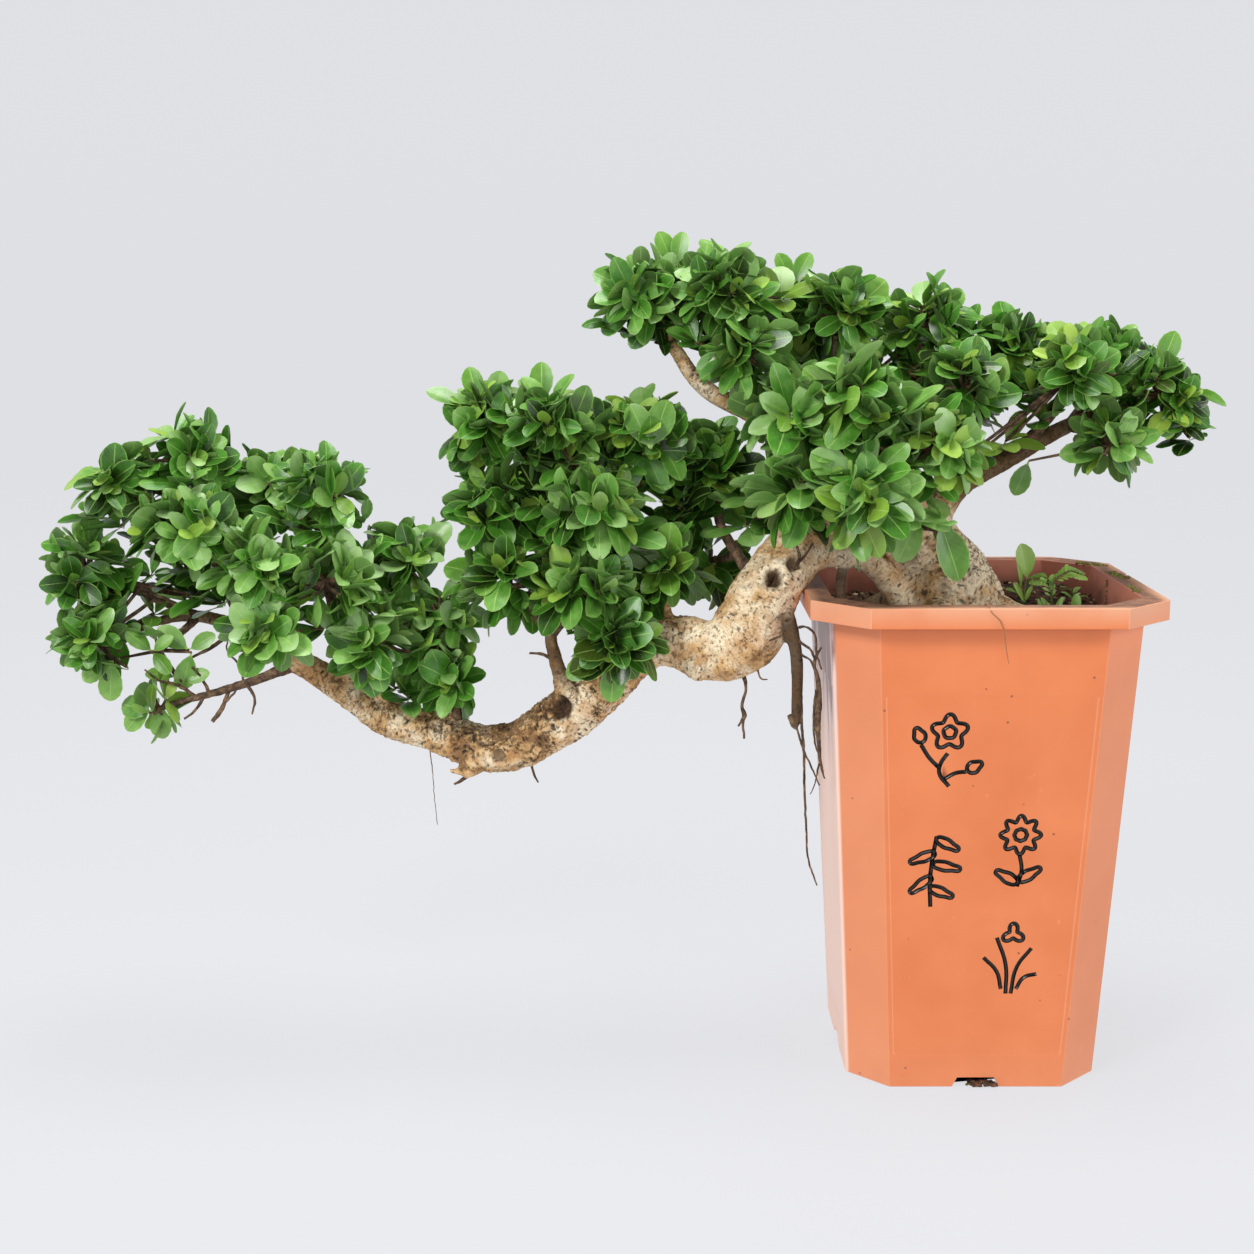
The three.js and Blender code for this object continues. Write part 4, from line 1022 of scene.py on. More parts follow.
trunk = grow_tubes("trunk_wood", thick_limbs)
apply_modifier(trunk, "REMESH", mode="VOXEL", voxel_size=TRUNK_VOXEL * MM, adaptivity=0)
apply_modifier(trunk, "SMOOTH", factor=0.5, iterations=9)
shape_bark(trunk, thick_limbs, 1.0, darkness)
branch_wood = grow_tubes("branch_wood", thin_limbs)
apply_modifier(branch_wood, "REMESH", mode="VOXEL", voxel_size=BRANCH_VOXEL * MM, adaptivity=0)
apply_modifier(branch_wood, "SMOOTH", factor=0.5, iterations=3)
shape_bark(branch_wood, thin_limbs, 0.0, [(0, 0)] * len(thin_limbs))

# Ficus bark: dry and matte, cream to tan, with rust-brown patches, dark short pits that run
# round the limb, near-black cracks and wounds, and a near-black painted shade on the two roots
# under the arch
bark, bark_shader = new_material("ficus_bark", 0.82, 1.45)
spot = add_node(bark, "ShaderNodeTexCoord").outputs["Object"]
straight = add_node(bark, "ShaderNodeAttribute", {"attribute_name": "bark_place"}).outputs["Vector"]
hollow, age_and_foot_light, wound_and_dark_skin, dirt = (
    add_node(bark, "ShaderNodeAttribute", {"attribute_name": name}).outputs["Fac"]
    for name in ("bark_hollow", "bark_age_and_foot_light", "bark_wound_and_dark_skin", "bark_dirt"))
clouds = add_node(bark, "ShaderNodeTexNoise", {},
                  {"Vector": spot, "Scale": per(30), "Detail": 7.0, "Roughness": 0.66})
# Older bark is darker, and the trunk's foot is painted lighter as painted light under the foliage
aged_clouds = add_node(bark, "ShaderNodeMath", {"operation": "MULTIPLY_ADD"},
                       {0: age_and_foot_light, 1: -0.055, 2: clouds})
bark_tone = add_node(bark, "ShaderNodeValToRGB", {}, {"Fac": aged_clouds},
                     [(0.325, BARK_DEEP), (0.43, BARK_TAN), (0.575, BARK_PALE)])
rust = add_node(bark, "ShaderNodeTexNoise", {}, {"Vector": spot, "Scale": per(19), "Detail": 6.0})
rusty = add_node(bark, "ShaderNodeMapRange", {},
                 {"Value": rust, "From Min": 0.54, "From Max": 0.66, "To Max": 0.5})
round_limb = add_node(bark, "ShaderNodeMapping", {},
                      {"Vector": straight, "Scale": (1.0, 0.42, 0.42)})
fibres = add_node(bark, "ShaderNodeTexNoise", {},
                  {"Vector": round_limb, "Scale": per(1.9), "Detail": 5.0, "Roughness": 0.65})
fibrous = add_node(bark, "ShaderNodeMapRange", {},
                   {"Value": fibres, "From Min": 0.34, "From Max": 0.5, "To Min": 0.5,
                    "To Max": 0.0})
crumbled = add_node(bark, "ShaderNodeTexNoise", {},
                    {"Vector": spot, "Scale": per(3.4), "Detail": 6.0, "Roughness": 0.7})
dirtier = add_node(bark, "ShaderNodeMath", {"operation": "MULTIPLY_ADD"},
                   {0: dirt, 1: 0.13, 2: crumbled})
spotted = add_node(bark, "ShaderNodeMapRange", {},
                   {"Value": dirtier, "From Min": 0.56, "From Max": 0.62, "To Max": 0.78})
pits = add_node(bark, "ShaderNodeTexVoronoi", {}, {"Vector": round_limb, "Scale": per(4.6)})
ragged_pits = add_node(bark, "ShaderNodeMath", {"operation": "MULTIPLY_ADD"},
                       {0: crumbled, 1: 0.5, 2: pits})
pit_shape = add_node(bark, "ShaderNodeMapRange", {"interpolation_type": "SMOOTHSTEP"},
                     {"Value": ragged_pits, "From Min": 0.4, "From Max": 0.52,
                      "To Min": 0.82, "To Max": 0.0})
pit_groups = add_node(bark, "ShaderNodeTexNoise", {}, {"Vector": spot, "Scale": per(13)})
dirt_groups = add_node(bark, "ShaderNodeMath", {"operation": "MULTIPLY_ADD"},
                       {0: dirt, 1: 0.12, 2: pit_groups})
pit_here = add_node(bark, "ShaderNodeMapRange", {},
                    {"Value": dirt_groups, "From Min": 0.45, "From Max": 0.56})
pitted = add_node(bark, "ShaderNodeMath", {"operation": "MULTIPLY"}, {0: pit_shape, 1: pit_here})
hollowed = add_node(bark, "ShaderNodeMapRange", {},
                    {"Value": hollow, "From Min": 0.12, "From Max": 0.6, "To Max": 0.88})
near_black = add_node(bark, "ShaderNodeValToRGB", {}, {"Fac": crumbled},
                [(0.4, BARK_BLACK), (0.62, BARK_DARK)])
coat = bark_tone
for mask, over in ((rusty, colour(BARK_RUST)), (fibrous, colour(BARK_DEEP)),
                   (spotted, colour(BARK_DARK)), (pitted, colour(BARK_BLACK)),
                   (hollowed, colour(BARK_BLACK)), (wound_and_dark_skin, near_black)):
    coat = add_node(bark, "ShaderNodeMix", {"data_type": "RGBA"},
                    {"Factor": mask, 6: coat, 7: over})
relief = add_node(bark, "ShaderNodeBump", {},
                  {"Height": fibres, "Strength": 0.8, "Distance": 0.9 * MM})
for dent, strength, depth in ((spotted, 0.7, 0.8), (pitted, 0.9, 1.1)):
    relief = add_node(bark, "ShaderNodeBump", {"invert": True},
                      {"Height": dent, "Normal": relief, "Strength": strength,
                       "Distance": depth * MM})
set_inputs(bark, bark_shader, {"Base Color": coat, "Normal": relief})

# Young branches keep a thin grey-brown skin with fine lengthwise wrinkles
twig_bark = mottled_material("young_branch_bark", 0.75, 1.45, (6, 6.0, 0.7),
                             [(0.36, BARK_BLACK), (0.5, TWIG_BROWN), (0.68, TWIG_PALE)], (0.7, 0.8))

trunk.data.materials.append(bark)
branch_wood.data.materials.append(twig_bark)
for piece in (trunk, branch_wood):
    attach(piece, "root")
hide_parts("trunk")

# Thin roots hang under the trunk beside the pot, the finest of them as thread, and a few more
# cling together between the trunk and the pot. Bare dead twigs stick out under the end of the
# limb. One dry, pale root grew up out of the soil and hangs over the front of the rim.
HANGING_ROOTS = [
    [[-149, -60, 300, 4.6], [-147, -60, 291, 3.6], [-146, -61, 288, 1.0]],
    [[-148, -60, 352, 2.0], [-143, -60, 318, 1.4], [-142, -62, 292, 1.2], [-140, -62, 272, 1.1],
     [-139, -63, 240, 1.0], [-137, -64, 205, 0.9], [-135, -66, 180, 0.8], [-128, -70, 160, 0.6]],
    [[-146, -60, 290, 1.0], [-140, -62, 271, 1.0], [-133, -63, 256, 0.8], [-127, -64, 242, 0.6]],
    [[-190, -50, 335, 2.2], [-187, -57, 322, 1.3], [-190, -58, 306, 1.2], [-188, -58, 299, 2.2],
     [-189, -58, 294, 1.3], [-188, -58, 280, 0.9]],
    [[-188, -58, 299, 1.2], [-193, -59, 290, 0.8]],
    [[-178, -60, 338, 1.0], [-175, -62, 330, 0.8], [-170, -62, 329, 0.5]],
    [[-150, -62, 368, 1.4], [-143, -63, 359, 1.2], [-136, -64, 354, 1.1], [-133, -64, 347, 0.9]],
    [[-146, -62, 372, 1.2], [-139, -64, 372, 1.0], [-133, -64, 366, 0.9], [-131, -65, 350, 0.9],
     [-127, -66, 338, 0.8]],
    [[-150, -62, 364, 1.2], [-144, -63, 351, 1.1], [-136, -64, 345, 1.0], [-133, -65, 339, 0.9]],
    [[-128, -66, 356, 0.9], [-133, -65, 344, 1.4], [-130, -66, 330, 2.0], [-129, -68, 310, 2.4],
     [-130, -70, 296, 2.6], [-129, -71, 280, 1.8], [-127, -72, 262, 1.2], [-124, -72, 250, 0.7]],
    [[-131, -66, 322, 1.2], [-133, -68, 300, 1.0], [-131, -69, 276, 0.8], [-128, -70, 268, 0.6]],
    [[-128, -70, 262, 0.8], [-133, -69, 240, 0.5], [-135, -69, 236, 0.4]],
    [[-446, -22, 262, 0.5], [-444, -21, 240, 0.35], [-443, -20, 218, 0.3], [-441, -20, 197, 0.3]],
    [[-396, -26, 252, 3.0], [-407, -30, 246, 2.0], [-420, -33, 238, 1.5], [-425, -34, 235, 0.9]],
    [[-362, -26, 256, 1.6], [-360, -30, 244, 1.0], [-356, -31, 236, 0.7]],
    [[-150, -52, 414, 1.6], [-146, -62, 428, 1.5], [-148, -66, 436, 1.2], [-151, -64, 445, 0.9]],
    [[-146, -58, 424, 1.3], [-141, -64, 431, 1.1], [-136, -66, 440, 0.8]],
]
BARE_TWIGS = [
    [[-612, -14, 312, 2.0], [-616, -17, 300, 1.7], [-621, -18, 291, 2.2], [-626, -20, 285, 1.6]],
    [[-616, -17, 300, 1.2], [-608, -20, 308, 0.9], [-600, -22, 318, 0.7]],
    [[-600, -12, 316, 1.2], [-603, -16, 332, 1.0], [-612, -18, 345, 0.8], [-611, -19, 353, 0.6]],
    [[-628, -16, 308, 1.6], [-634, -18, 322, 1.2], [-641, -20, 331, 0.9]],
    [[-560, -8, 345, 1.8], [-580, -20, 356, 1.2], [-597, -24, 360, 0.9]],
    [[-640, -18, 306, 1.8], [-652, -22, 316, 1.4], [-668, -24, 321, 1.0], [-679, -24, 330, 0.7]],
    [[-598, -14, 316, 1.5], [-590, -20, 304, 1.1], [-592, -24, 292, 0.8]],
    [[-680, 4, 362, 2.2], [-696, -8, 352, 1.6], [-706, -14, 338, 1.0]],
    [[-648, 16, 366, 2.0], [-660, 0, 382, 1.5], [-676, -8, 391, 1.0]],
    [[-612, 14, 356, 2.4], [-628, 0, 344, 1.7], [-645, -10, 336, 1.1]],
    [[-340, -52, 343, 2.2], [-352, -56, 349, 1.2], [-361, -58, 350, 0.8]],
    [[-632, -20, 306, 1.6], [-640, -22, 294, 1.1], [-648, -24, 288, 0.9]],
]
RIM_ROOT = [[-10, -96, 372, 0.7], [-9, -112, 388, 0.6], [-9, -124, 400.6, 0.55],
            [-8, -137, 400.6, 0.5], [-6.5, -141, 397, 0.5], [0, -141.5, 390, 0.45],
            [4, -141.5, 377, 0.4], [5.5, -141, 366, 0.33], [7.5, -140, 358, 0.25]]
DRY_ROOT_BROWN = "9C6A46"
CROOKEDNESS, CROOKED_GRAIN = 0.5, 260

dry_skin, dry_skin_shader = new_material("dry_root_skin", 0.8, 1.45)
set_inputs(dry_skin, dry_skin_shader, {"Base Color": colour(DRY_ROOT_BROWN)})

for name, threads, skin in (("hanging_roots", HANGING_ROOTS, twig_bark),
                            ("bare_twigs", BARE_TWIGS, twig_bark),
                            ("rim_root", [RIM_ROOT], dry_skin)):
    piece = grow_tubes(name, threads, skin, sides=2)
    for vertex in piece.data.vertices:
        vertex.co += CROOKEDNESS * MM * noise.noise_vector(vertex.co * CROOKED_GRAIN)
    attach(piece, "root")

# The leaves are small, thick and leathery, with a short stalk, a blunt tip and a pale midrib.
# They sit in rosettes round the twig ends. Each blade is a slightly folded and drooping sheet,
# closed round its thin margin, with a glossy upper side and a dull, paler underside.
LEAF_LENGTH, LEAF_WIDTH, LEAF_THICKNESS = 39, 22, 0.55
LEAF_ROWS, LEAF_COLUMNS = 7, 4
# Half its width at the ends of the rows: [share of the length, share of the half width]
LEAF_OUTLINE = [(0, 0.07), (0.1, 0.12), (0.24, 0.56), (0.43, 0.9), (0.64, 1.0), (0.83, 0.82),
                (0.955, 0.43), (1, 0.08)]
# Each kind of leaf: how broad it is, how its sides fold up, how it droops, and how it waves
LEAF_KINDS = [
    {"broad": 1.0, "fold": 0.14, "droop": 0.16, "wave": 0.3},
    {"broad": 1.14, "fold": 0.05, "droop": 0.24, "wave": 0.7},
    {"broad": 0.9, "fold": 0.34, "droop": 0.1, "wave": 0.5},
    {"broad": 0.98, "fold": -0.16, "droop": 0.34, "wave": 0.9},
    {"broad": 1.08, "fold": 0.22, "droop": -0.08, "wave": 1.1},
    {"broad": 0.78, "fold": 0.42, "droop": 0.05, "wave": 0.2},
]
# LEAF_SHEEN is the pale grey-green of a painted sheen on the lightest leaves
LEAF_DARK, LEAF_GREEN, LEAF_LIGHT, LEAF_SHEEN = "132604", "437C22", "7EAA54", "AFCC98"
LEAF_YOUNG = "A2C248"
LEAF_RIB, LEAF_MARGIN, LEAF_UNDER = "A3C46A", "84B050", "6F8E4C"
SIDE_VEINS, VEIN_SLANT = 11.0, 5.0
LEAF_IOR = 1.5


def leaf_material(name, roughness, dull):
    """Waxy leaf skin, with its tone, which carries painted light and shade, and its youth from the
    leaf's own attributes. On the leaf's UV map, U runs across the blade, with the midrib at its
    middle, and V from the stalk to the tip."""
    skin, shader = new_material(name, roughness, LEAF_IOR)
    uv = add_node(skin, "ShaderNodeUVMap")
    split = add_node(skin, "ShaderNodeSeparateXYZ", {}, {"Vector": uv})
    along = split.outputs["Y"]
    spot = add_node(skin, "ShaderNodeTexCoord").outputs["Object"]
    tone = add_node(skin, "ShaderNodeAttribute", {"attribute_name": "leaf_tone_and_light"}).outputs["Fac"]
    youth = add_node(skin, "ShaderNodeAttribute", {"attribute_name": "leaf_youth"}).outputs["Fac"]
    from_rib = add_node(skin, "ShaderNodeMath", {"operation": "PINGPONG"},
                        {0: split.outputs["X"], 1: 0.5})
    mottle = add_node(skin, "ShaderNodeTexNoise", {},
                      {"Vector": spot, "Scale": per(9), "Detail": 4.0})
    mottled = add_node(skin, "ShaderNodeMath", {"operation": "MULTIPLY_ADD"},
                       {0: mottle, 1: 0.5, 2: -0.25})
    shade = add_node(skin, "ShaderNodeMath", {"operation": "ADD"}, {0: tone, 1: mottled})
    # Painted shade and light: each leaf is darker at its stalk end, where its rosette shades it,
    # and lighter towards its tip
    shaded_base_lit_tip = add_node(skin, "ShaderNodeMath", {"operation": "MULTIPLY_ADD"},
                           {0: along, 1: 0.42, 2: shade})
    green = add_node(skin, "ShaderNodeValToRGB", {}, {"Fac": shaded_base_lit_tip},
                     [(0.24, LEAF_DARK), (0.62, LEAF_GREEN), (0.96, LEAF_LIGHT)])
    # Painted sheen: the lightest leaves and leaf tips are mixed towards a pale grey-green
    painted_sheen = add_node(skin, "ShaderNodeMapRange", {},
                      {"Value": shaded_base_lit_tip, "From Min": 0.9, "From Max": 1.25, "To Max": 0.65})
    slanting = add_node(skin, "ShaderNodeMath", {"operation": "MULTIPLY_ADD"},
                        {0: from_rib, 1: VEIN_SLANT, 2: along})
    vein_places = add_node(skin, "ShaderNodeMath", {"operation": "MULTIPLY_ADD"},
                           {0: along, 1: SIDE_VEINS, 2: slanting})
    vein_line = add_node(skin, "ShaderNodeMath", {"operation": "PINGPONG"},
                         {0: vein_places, 1: 0.5})
    rib_reach = add_node(skin, "ShaderNodeMath", {"operation": "MULTIPLY_ADD"},
                         {0: along, 1: 0.035, 2: from_rib})
    veined, edged, ribbed, stalked = (
        add_node(skin, "ShaderNodeMapRange", {"interpolation_type": "SMOOTHSTEP"},
                 {"Value": value, "From Min": start, "From Max": end, "To Min": at_start,
                  "To Max": at_end})
        for value, start, end, at_start, at_end in (
            (vein_line, 0.0, 0.12, 0.08, 0.0), (from_rib, 0.07, 0.0, 0.0, 0.75),
            (rib_reach, 0.488, 0.514, 0.0, 0.5), (along, 0.2, 0.1, 0.0, 0.8)))
    coat = green
    for mask, over in ((painted_sheen, LEAF_SHEEN), (youth, LEAF_YOUNG), (dull, LEAF_UNDER),
                       (veined, LEAF_RIB), (edged, LEAF_MARGIN), (ribbed, LEAF_RIB),
                       (stalked, LEAF_RIB)):
        coat = add_node(skin, "ShaderNodeMix", {"data_type": "RGBA"},
                        {"Factor": mask, 6: coat, 7: colour(over)})
    relief = add_node(skin, "ShaderNodeMath", {"operation": "MAXIMUM"}, {0: veined, 1: ribbed})
    vein_bump = add_node(skin, "ShaderNodeBump", {"invert": dull < 0.5},
                         {"Height": relief, "Strength": 0.5, "Distance": 0.3 * MM})
    set_inputs(skin, shader, {
        "Base Color": coat, "Normal": vein_bump, "Subsurface Weight": 0.08,
        "Subsurface Radius": (0.35, 1.0, 0.15), "Subsurface Scale": 2 * MM})
    return skin


leaf_upper = leaf_material("waxy_ficus_leaf", 0.33, 0.0)
leaf_lower = leaf_material("matte_leaf_underside", 0.6, 0.55)
RIPPLE_HEIGHT, RIPPLES, DROOP_CURVE = 1.2, 8, 2.2
ON_MARGIN = 0.99
SMOOTH_FOLD = math.radians(70)


def leaf_model(name, broad, fold, droop, wave):
    """One leaf that grows from the origin along +Y with its upper side up"""
    bpy.ops.mesh.primitive_grid_add(x_subdivisions=LEAF_COLUMNS, y_subdivisions=LEAF_ROWS, size=1)
    leaf = bpy.context.object
    leaf.name = name
    inner = leaf.vertex_groups.new(name="inner")
    for vertex in leaf.data.vertices:
        across = 2 * vertex.co.x
        share, half_width = LEAF_OUTLINE[round((vertex.co.y + 0.5) * LEAF_ROWS)]
        side = across * half_width * broad * LEAF_WIDTH / 2
        swing = math.sin(RIPPLES * share + 2 * across) * math.sin(math.pi * share)
        ripple = wave * abs(across) * swing
        sag = droop * LEAF_LENGTH * share ** DROOP_CURVE
        height = fold * abs(side) - sag + RIPPLE_HEIGHT * ripple
        at_edge = abs(across) > ON_MARGIN or share < 1 - ON_MARGIN or share > ON_MARGIN
        inner.add([vertex.index], 0.0 if at_edge else 1.0, "REPLACE")
        vertex.co = Vector((side, LEAF_LENGTH * share, height)) * MM
    for skin in (leaf_upper, leaf_lower):
        leaf.data.materials.append(skin)
    apply_modifier(leaf, "SOLIDIFY", thickness=LEAF_THICKNESS * MM, offset=-1, use_rim=False,
                   vertex_group="inner", thickness_vertex_group=0.0, material_offset=1)
    bpy.ops.object.mode_set(mode="EDIT")
    bpy.ops.mesh.select_all(action="SELECT")
    bpy.ops.mesh.remove_doubles(threshold=0.02 * MM)
    bpy.ops.object.mode_set(mode="OBJECT")
    bpy.ops.object.shade_smooth_by_angle(angle=SMOOTH_FOLD)
    for attribute in ("leaf_tone_and_light", "leaf_youth"):
        leaf.data.attributes.new(attribute, "FLOAT", "POINT")
    return leaf


def leaf_frame(base, direction, facing):
    """Sets a leaf's foot at a place, in mm, to grow one way and turn its upper side another"""
    grow = direction.normalized()
    upper = (facing - grow * facing.dot(grow)).normalized()
    turned = Matrix((grow.cross(upper), grow, upper)).transposed().to_4x4()
    return Matrix.Translation(place(*base)) @ turned


def place_leaf(model, matrix, tone, youth):
    """A copy of a leaf with its own tone, painted light and shade included, and youth"""
    leaf = copy_of(model, matrix)
    for attribute, value in (("leaf_tone_and_light", tone), ("leaf_youth", youth)):
        leaf.data.attributes[attribute].data.foreach_set("value", [value] * len(leaf.data.vertices))
    return leaf


# Where rosettes grow: a large spray has its main twigs at the corners of an octahedron, and a
# small one at those of a tetrahedron. Finer twigs wind up round them.
WHORL_DEPTH = 22
LARGE_SPRAY, LARGE_CORE_TILT, TETRAHEDRON_TILT, LEAST_DROP = 39.5, 0.3, -0.955, 10
OCTAHEDRON = [(1, 0, 0), (0, 1, 0), (0, 0, 1), (0, -1, 0), (0, 0, -1), (-1, 0, 0)]
TETRAHEDRON = [(-1, 1, -1), (-1, -1, 1), (1, 1, 1), (1, -1, -1)]
GOLDEN_ANGLE = 2.4
FINE_TWIGS_LARGE, FINE_TWIGS_SMALL = 12, 8
FINE_REACH_LARGE, FINE_REACH_SMALL, FINE_REACH_RANGE = 0.95, 1.2, 0.35
LOWEST_TWIG = -0.78


def spray_tips(number, spray, bare):
    """The places in a spray where rosettes grow: the main ones, then the finer ones"""
    large = max(spray["reach"]) > LARGE_SPRAY
    tilt = LARGE_CORE_TILT * (chance(number, 0, 0, 1) - 0.5) if large else TETRAHEDRON_TILT
    turn = (Matrix.Rotation(FULL_TURN * chance(number, 0, 0, 2), 3, "Z")
            @ Matrix.Rotation(tilt, 3, "X"))
    room = [max(size - WHORL_DEPTH, WHORL_DEPTH / 2) for size in spray["reach"]]

    def tip(out):
        """The place that a direction from the spray's middle reaches"""
        return spray["centre"] + Vector([out[i] * room[i] for i in range(3)])

    corners = OCTAHEDRON if large else TETRAHEDRON
    main = sorted([tip(turn @ Vector(c).normalized()) for c in corners], key=lambda p: -p.z)
    if large and main[-1].z < spray["centre"].z - LEAST_DROP:
        main.pop()
    fine = []
    count = FINE_TWIGS_LARGE if large else FINE_TWIGS_SMALL
    for i in range(0 if bare else count):
        rise = 1 - 2 * (i + 0.5) / count
        round_by = GOLDEN_ANGLE * i + FULL_TURN * chance(number, i, 0, 13)
        level = math.sqrt(1 - rise * rise)
        reach = FINE_REACH_LARGE if large else FINE_REACH_SMALL
        reach += FINE_REACH_RANGE * (chance(number, i, 0, 14) - 0.5)
        if rise > LOWEST_TWIG:
            out = Vector((level * math.cos(round_by), level * math.sin(round_by), rise))
            fine.append(tip(out * reach))
    return main, fine


STEEPEST_AXIS, HANGING_AXIS = 0.95, -0.2
LEAN_RANGE, ROLL_RANGE = 0.5, 0.7
ROW_TURN, TURN_PLAY = 0.9, 0.4
LEAST_BLADE, BLADE_RANGE = 0.68, 0.34
FOOT_PLAY = 3
# How light a rosette is painted, from its own chance and, as painted light, from how much it faces
# the sky, and its leaves
LEAST_SHADE, SHADE_RANGE, SKY_PAINTED_LIGHT, LEAF_SHADE_RANGE = 0.1, 0.38, 0.2, 0.5
YOUNG_ROSETTES, YOUNGEST = 0.16, 0.7
# A rosette's rows: leaves, how they lean from the twig, size, youth, and how far down it they sit
ROSETTE = [(5, 0.72, 1.0, 0.0, 1), (2, 0.25, 0.66, 0.7, -1), (2, 1.15, 0.95, 0.0, 11)]
FINE_ROSETTE = [(5, 0.72, 1.0, 0.0, 1), (1, 0.25, 0.66, 0.6, -1)]
SPARSE_ROSETTE = [(4, 0.85, 1.0, 0.2, 1), (1, 0.3, 0.6, 0.6, -1)]
# Places between the tiers that the shears keep open: [x, z] and how far no leaf tip comes near
KEPT_OPEN = [(-465, 480, 30), (-205, 434, 22), (-394, 346, 15), (-391, 304, 16), (-730, 516, 22),
             (-691, 529, 12), (4, 455, 29), (16, 531, 16), (-706, 343, 12), (-684, 352, 10),
             (-688, 280, 15), (108, 483, 11), (-440, 526, 13), (-525, 408, 12), (-680, 340, 11),
             (-209, 423, 15), (-740, 300, 16), (-477, 452, 9), (-436, 402, 13), (112, 476, 12),
             (-770, 396, 12), (-655, 532, 10), (-52, 642, 10), (-372, 580, 9), (-403, 387, 8),
             (-515, 522, 11), (-300, 600, 9), (-727, 512, 14), (-525, 404, 17), (-440, 404, 18),
             (-696, 374, 9), (-486, 458, 12), (-380, 582, 12), (-342, 566, 8), (-48, 630, 12),
             (-293, 634, 9), (-510, 478, 12), (96, 474, 11), (190, 560, 9), (-690, 335, 12)]


def grow_rosette(number, index, tip, axis, rows, size=1.0, tone=0.0):
    """Rows of leaves round a twig end, with the youngest in its middle"""
    axis = axis.normalized()
    level = Vector((1, 0, 0)) if abs(axis.z) > STEEPEST_AXIS else Vector((0, 0, 1))
    across = level.cross(axis).normalized()
    along = axis.cross(across)
    start = FULL_TURN * chance(number, index, 0, 3)
    # Painted light: a rosette that faces the sky is painted lighter
    shade = LEAST_SHADE + SHADE_RANGE * chance(number, index, 0, 7) + SKY_PAINTED_LIGHT * axis.z + tone
    fresh = max(0, chance(number, index, 0, 8) - 1 + YOUNG_ROSETTES) / YOUNG_ROSETTES
    skyward = Vector((0, 0, 0.5 if axis.z > HANGING_AXIS else 1.4))
    leaves = []
    for row, (count, lean_from, grown, youth, down) in enumerate(rows):
        for blade in range(count):
            draw = blade + 10 * row
            place_in_row = (blade + TURN_PLAY * chance(number, index, draw, 15)) / count
            turn = start + ROW_TURN * row + 2 * math.pi * place_in_row
            lean = lean_from + LEAN_RANGE * chance(number, index, draw, 4)
            length = size * grown * (LEAST_BLADE + BLADE_RANGE * chance(number, index, draw, 5))
            out = across * math.cos(turn) + along * math.sin(turn)
            side = along * math.cos(turn) - across * math.sin(turn)
            direction = out * math.sin(lean) + axis * math.cos(lean)
            roll = Matrix.Rotation(ROLL_RANGE * (chance(number, index, draw, 10) - 0.5), 4, "Y")
            foot = tip - axis * (down + FOOT_PLAY * chance(number, index, draw, 16))
            end = foot + direction * LEAF_LENGTH * length
            if any(math.hypot(end.x - x, end.z - z) < radius for x, z, radius in KEPT_OPEN):
                continue
            matrix = leaf_frame(foot, direction, direction.cross(side) + skyward)
            kind = int(chance(number, index, draw, 6) * len(leaf_models))
            leaf_tone_and_light = shade + LEAF_SHADE_RANGE * (chance(number, index, draw, 11) - 0.5)
            leaf_youth = min(1, youth * chance(number, index, draw, 12) + YOUNGEST * fresh ** 2)
            leaves.append(place_leaf(leaf_models[kind], matrix @ roll @ Matrix.Scale(length, 4),
                                     leaf_tone_and_light, leaf_youth))
    return leaves


NOD_SIDEWAYS, NOD_FORWARD, WHORL_LIFT = (-0.5, 0.5), (-0.65, 0.25), 0.3


def nodding(number, index):
    """How far a twig end leans out of its spray's round shape, a little more to the light"""
    return Vector((between(NOD_SIDEWAYS, chance(number, index, 0, 18)),
                   between(NOD_FORWARD, chance(number, index, 0, 19)), WHORL_LIFT))


leaf_models = [leaf_model(f"leaf_{i}", **kind) for i, kind in enumerate(LEAF_KINDS)]
# How light each tier's leaves are, the front tier's painted lighter as painted light where it
# stands in the light, and how large
TIERS = {"crown_left": (0.02, 0.98), "crown_top": (0.0, 0.98), "right_tier": (0.0, 0.9),
         "front_tier": (0.22, 1.1), "back_tier": (-0.12, 0.92), "middle_tier": (0.0, 1.02),
         "end_tier": (0.16, 0.97)}
# Sprays with no finer twigs, sprays that only grow upwards, and how small some sprays' leaves are
BARE_SPRAYS = {"end_tier_16", "end_tier_17", "front_tier_6"}
RISING_SPRAYS = {"front_tier_6", "end_tier_16"}
SMALL_LEAVED = {
    "front_tier_3": 0.82, "front_tier_6": 0.78, "right_tier_3": 0.86, "right_tier_2": 0.92,
    "end_tier_1": 0.94, "end_tier_2": 0.94, "end_tier_5": 0.84, "end_tier_16": 0.76,
    "end_tier_17": 0.84, "middle_tier_1": 0.92, "middle_tier_2": 0.92,
}
BRIDGE_SPAN, BRIDGE_LIFT = (50, 95), 6
# A spray's twigs bend down a little on their way out: [share of the way, how far down]
TWIG_BEND, TWIG_SAG = 0.55, 2
TWIG_RADII, LEAF_STALK_RADII = (2.3, 1.7, 1.2), (1.8, 1.4, 1.0)
# Finer and inner rosettes are painted darker, as painted shade inside the sprays and the tree
FINE_SHADED, INNER_SHADED = -0.04, -0.26
FINE_START, INNER_START = 10, 30

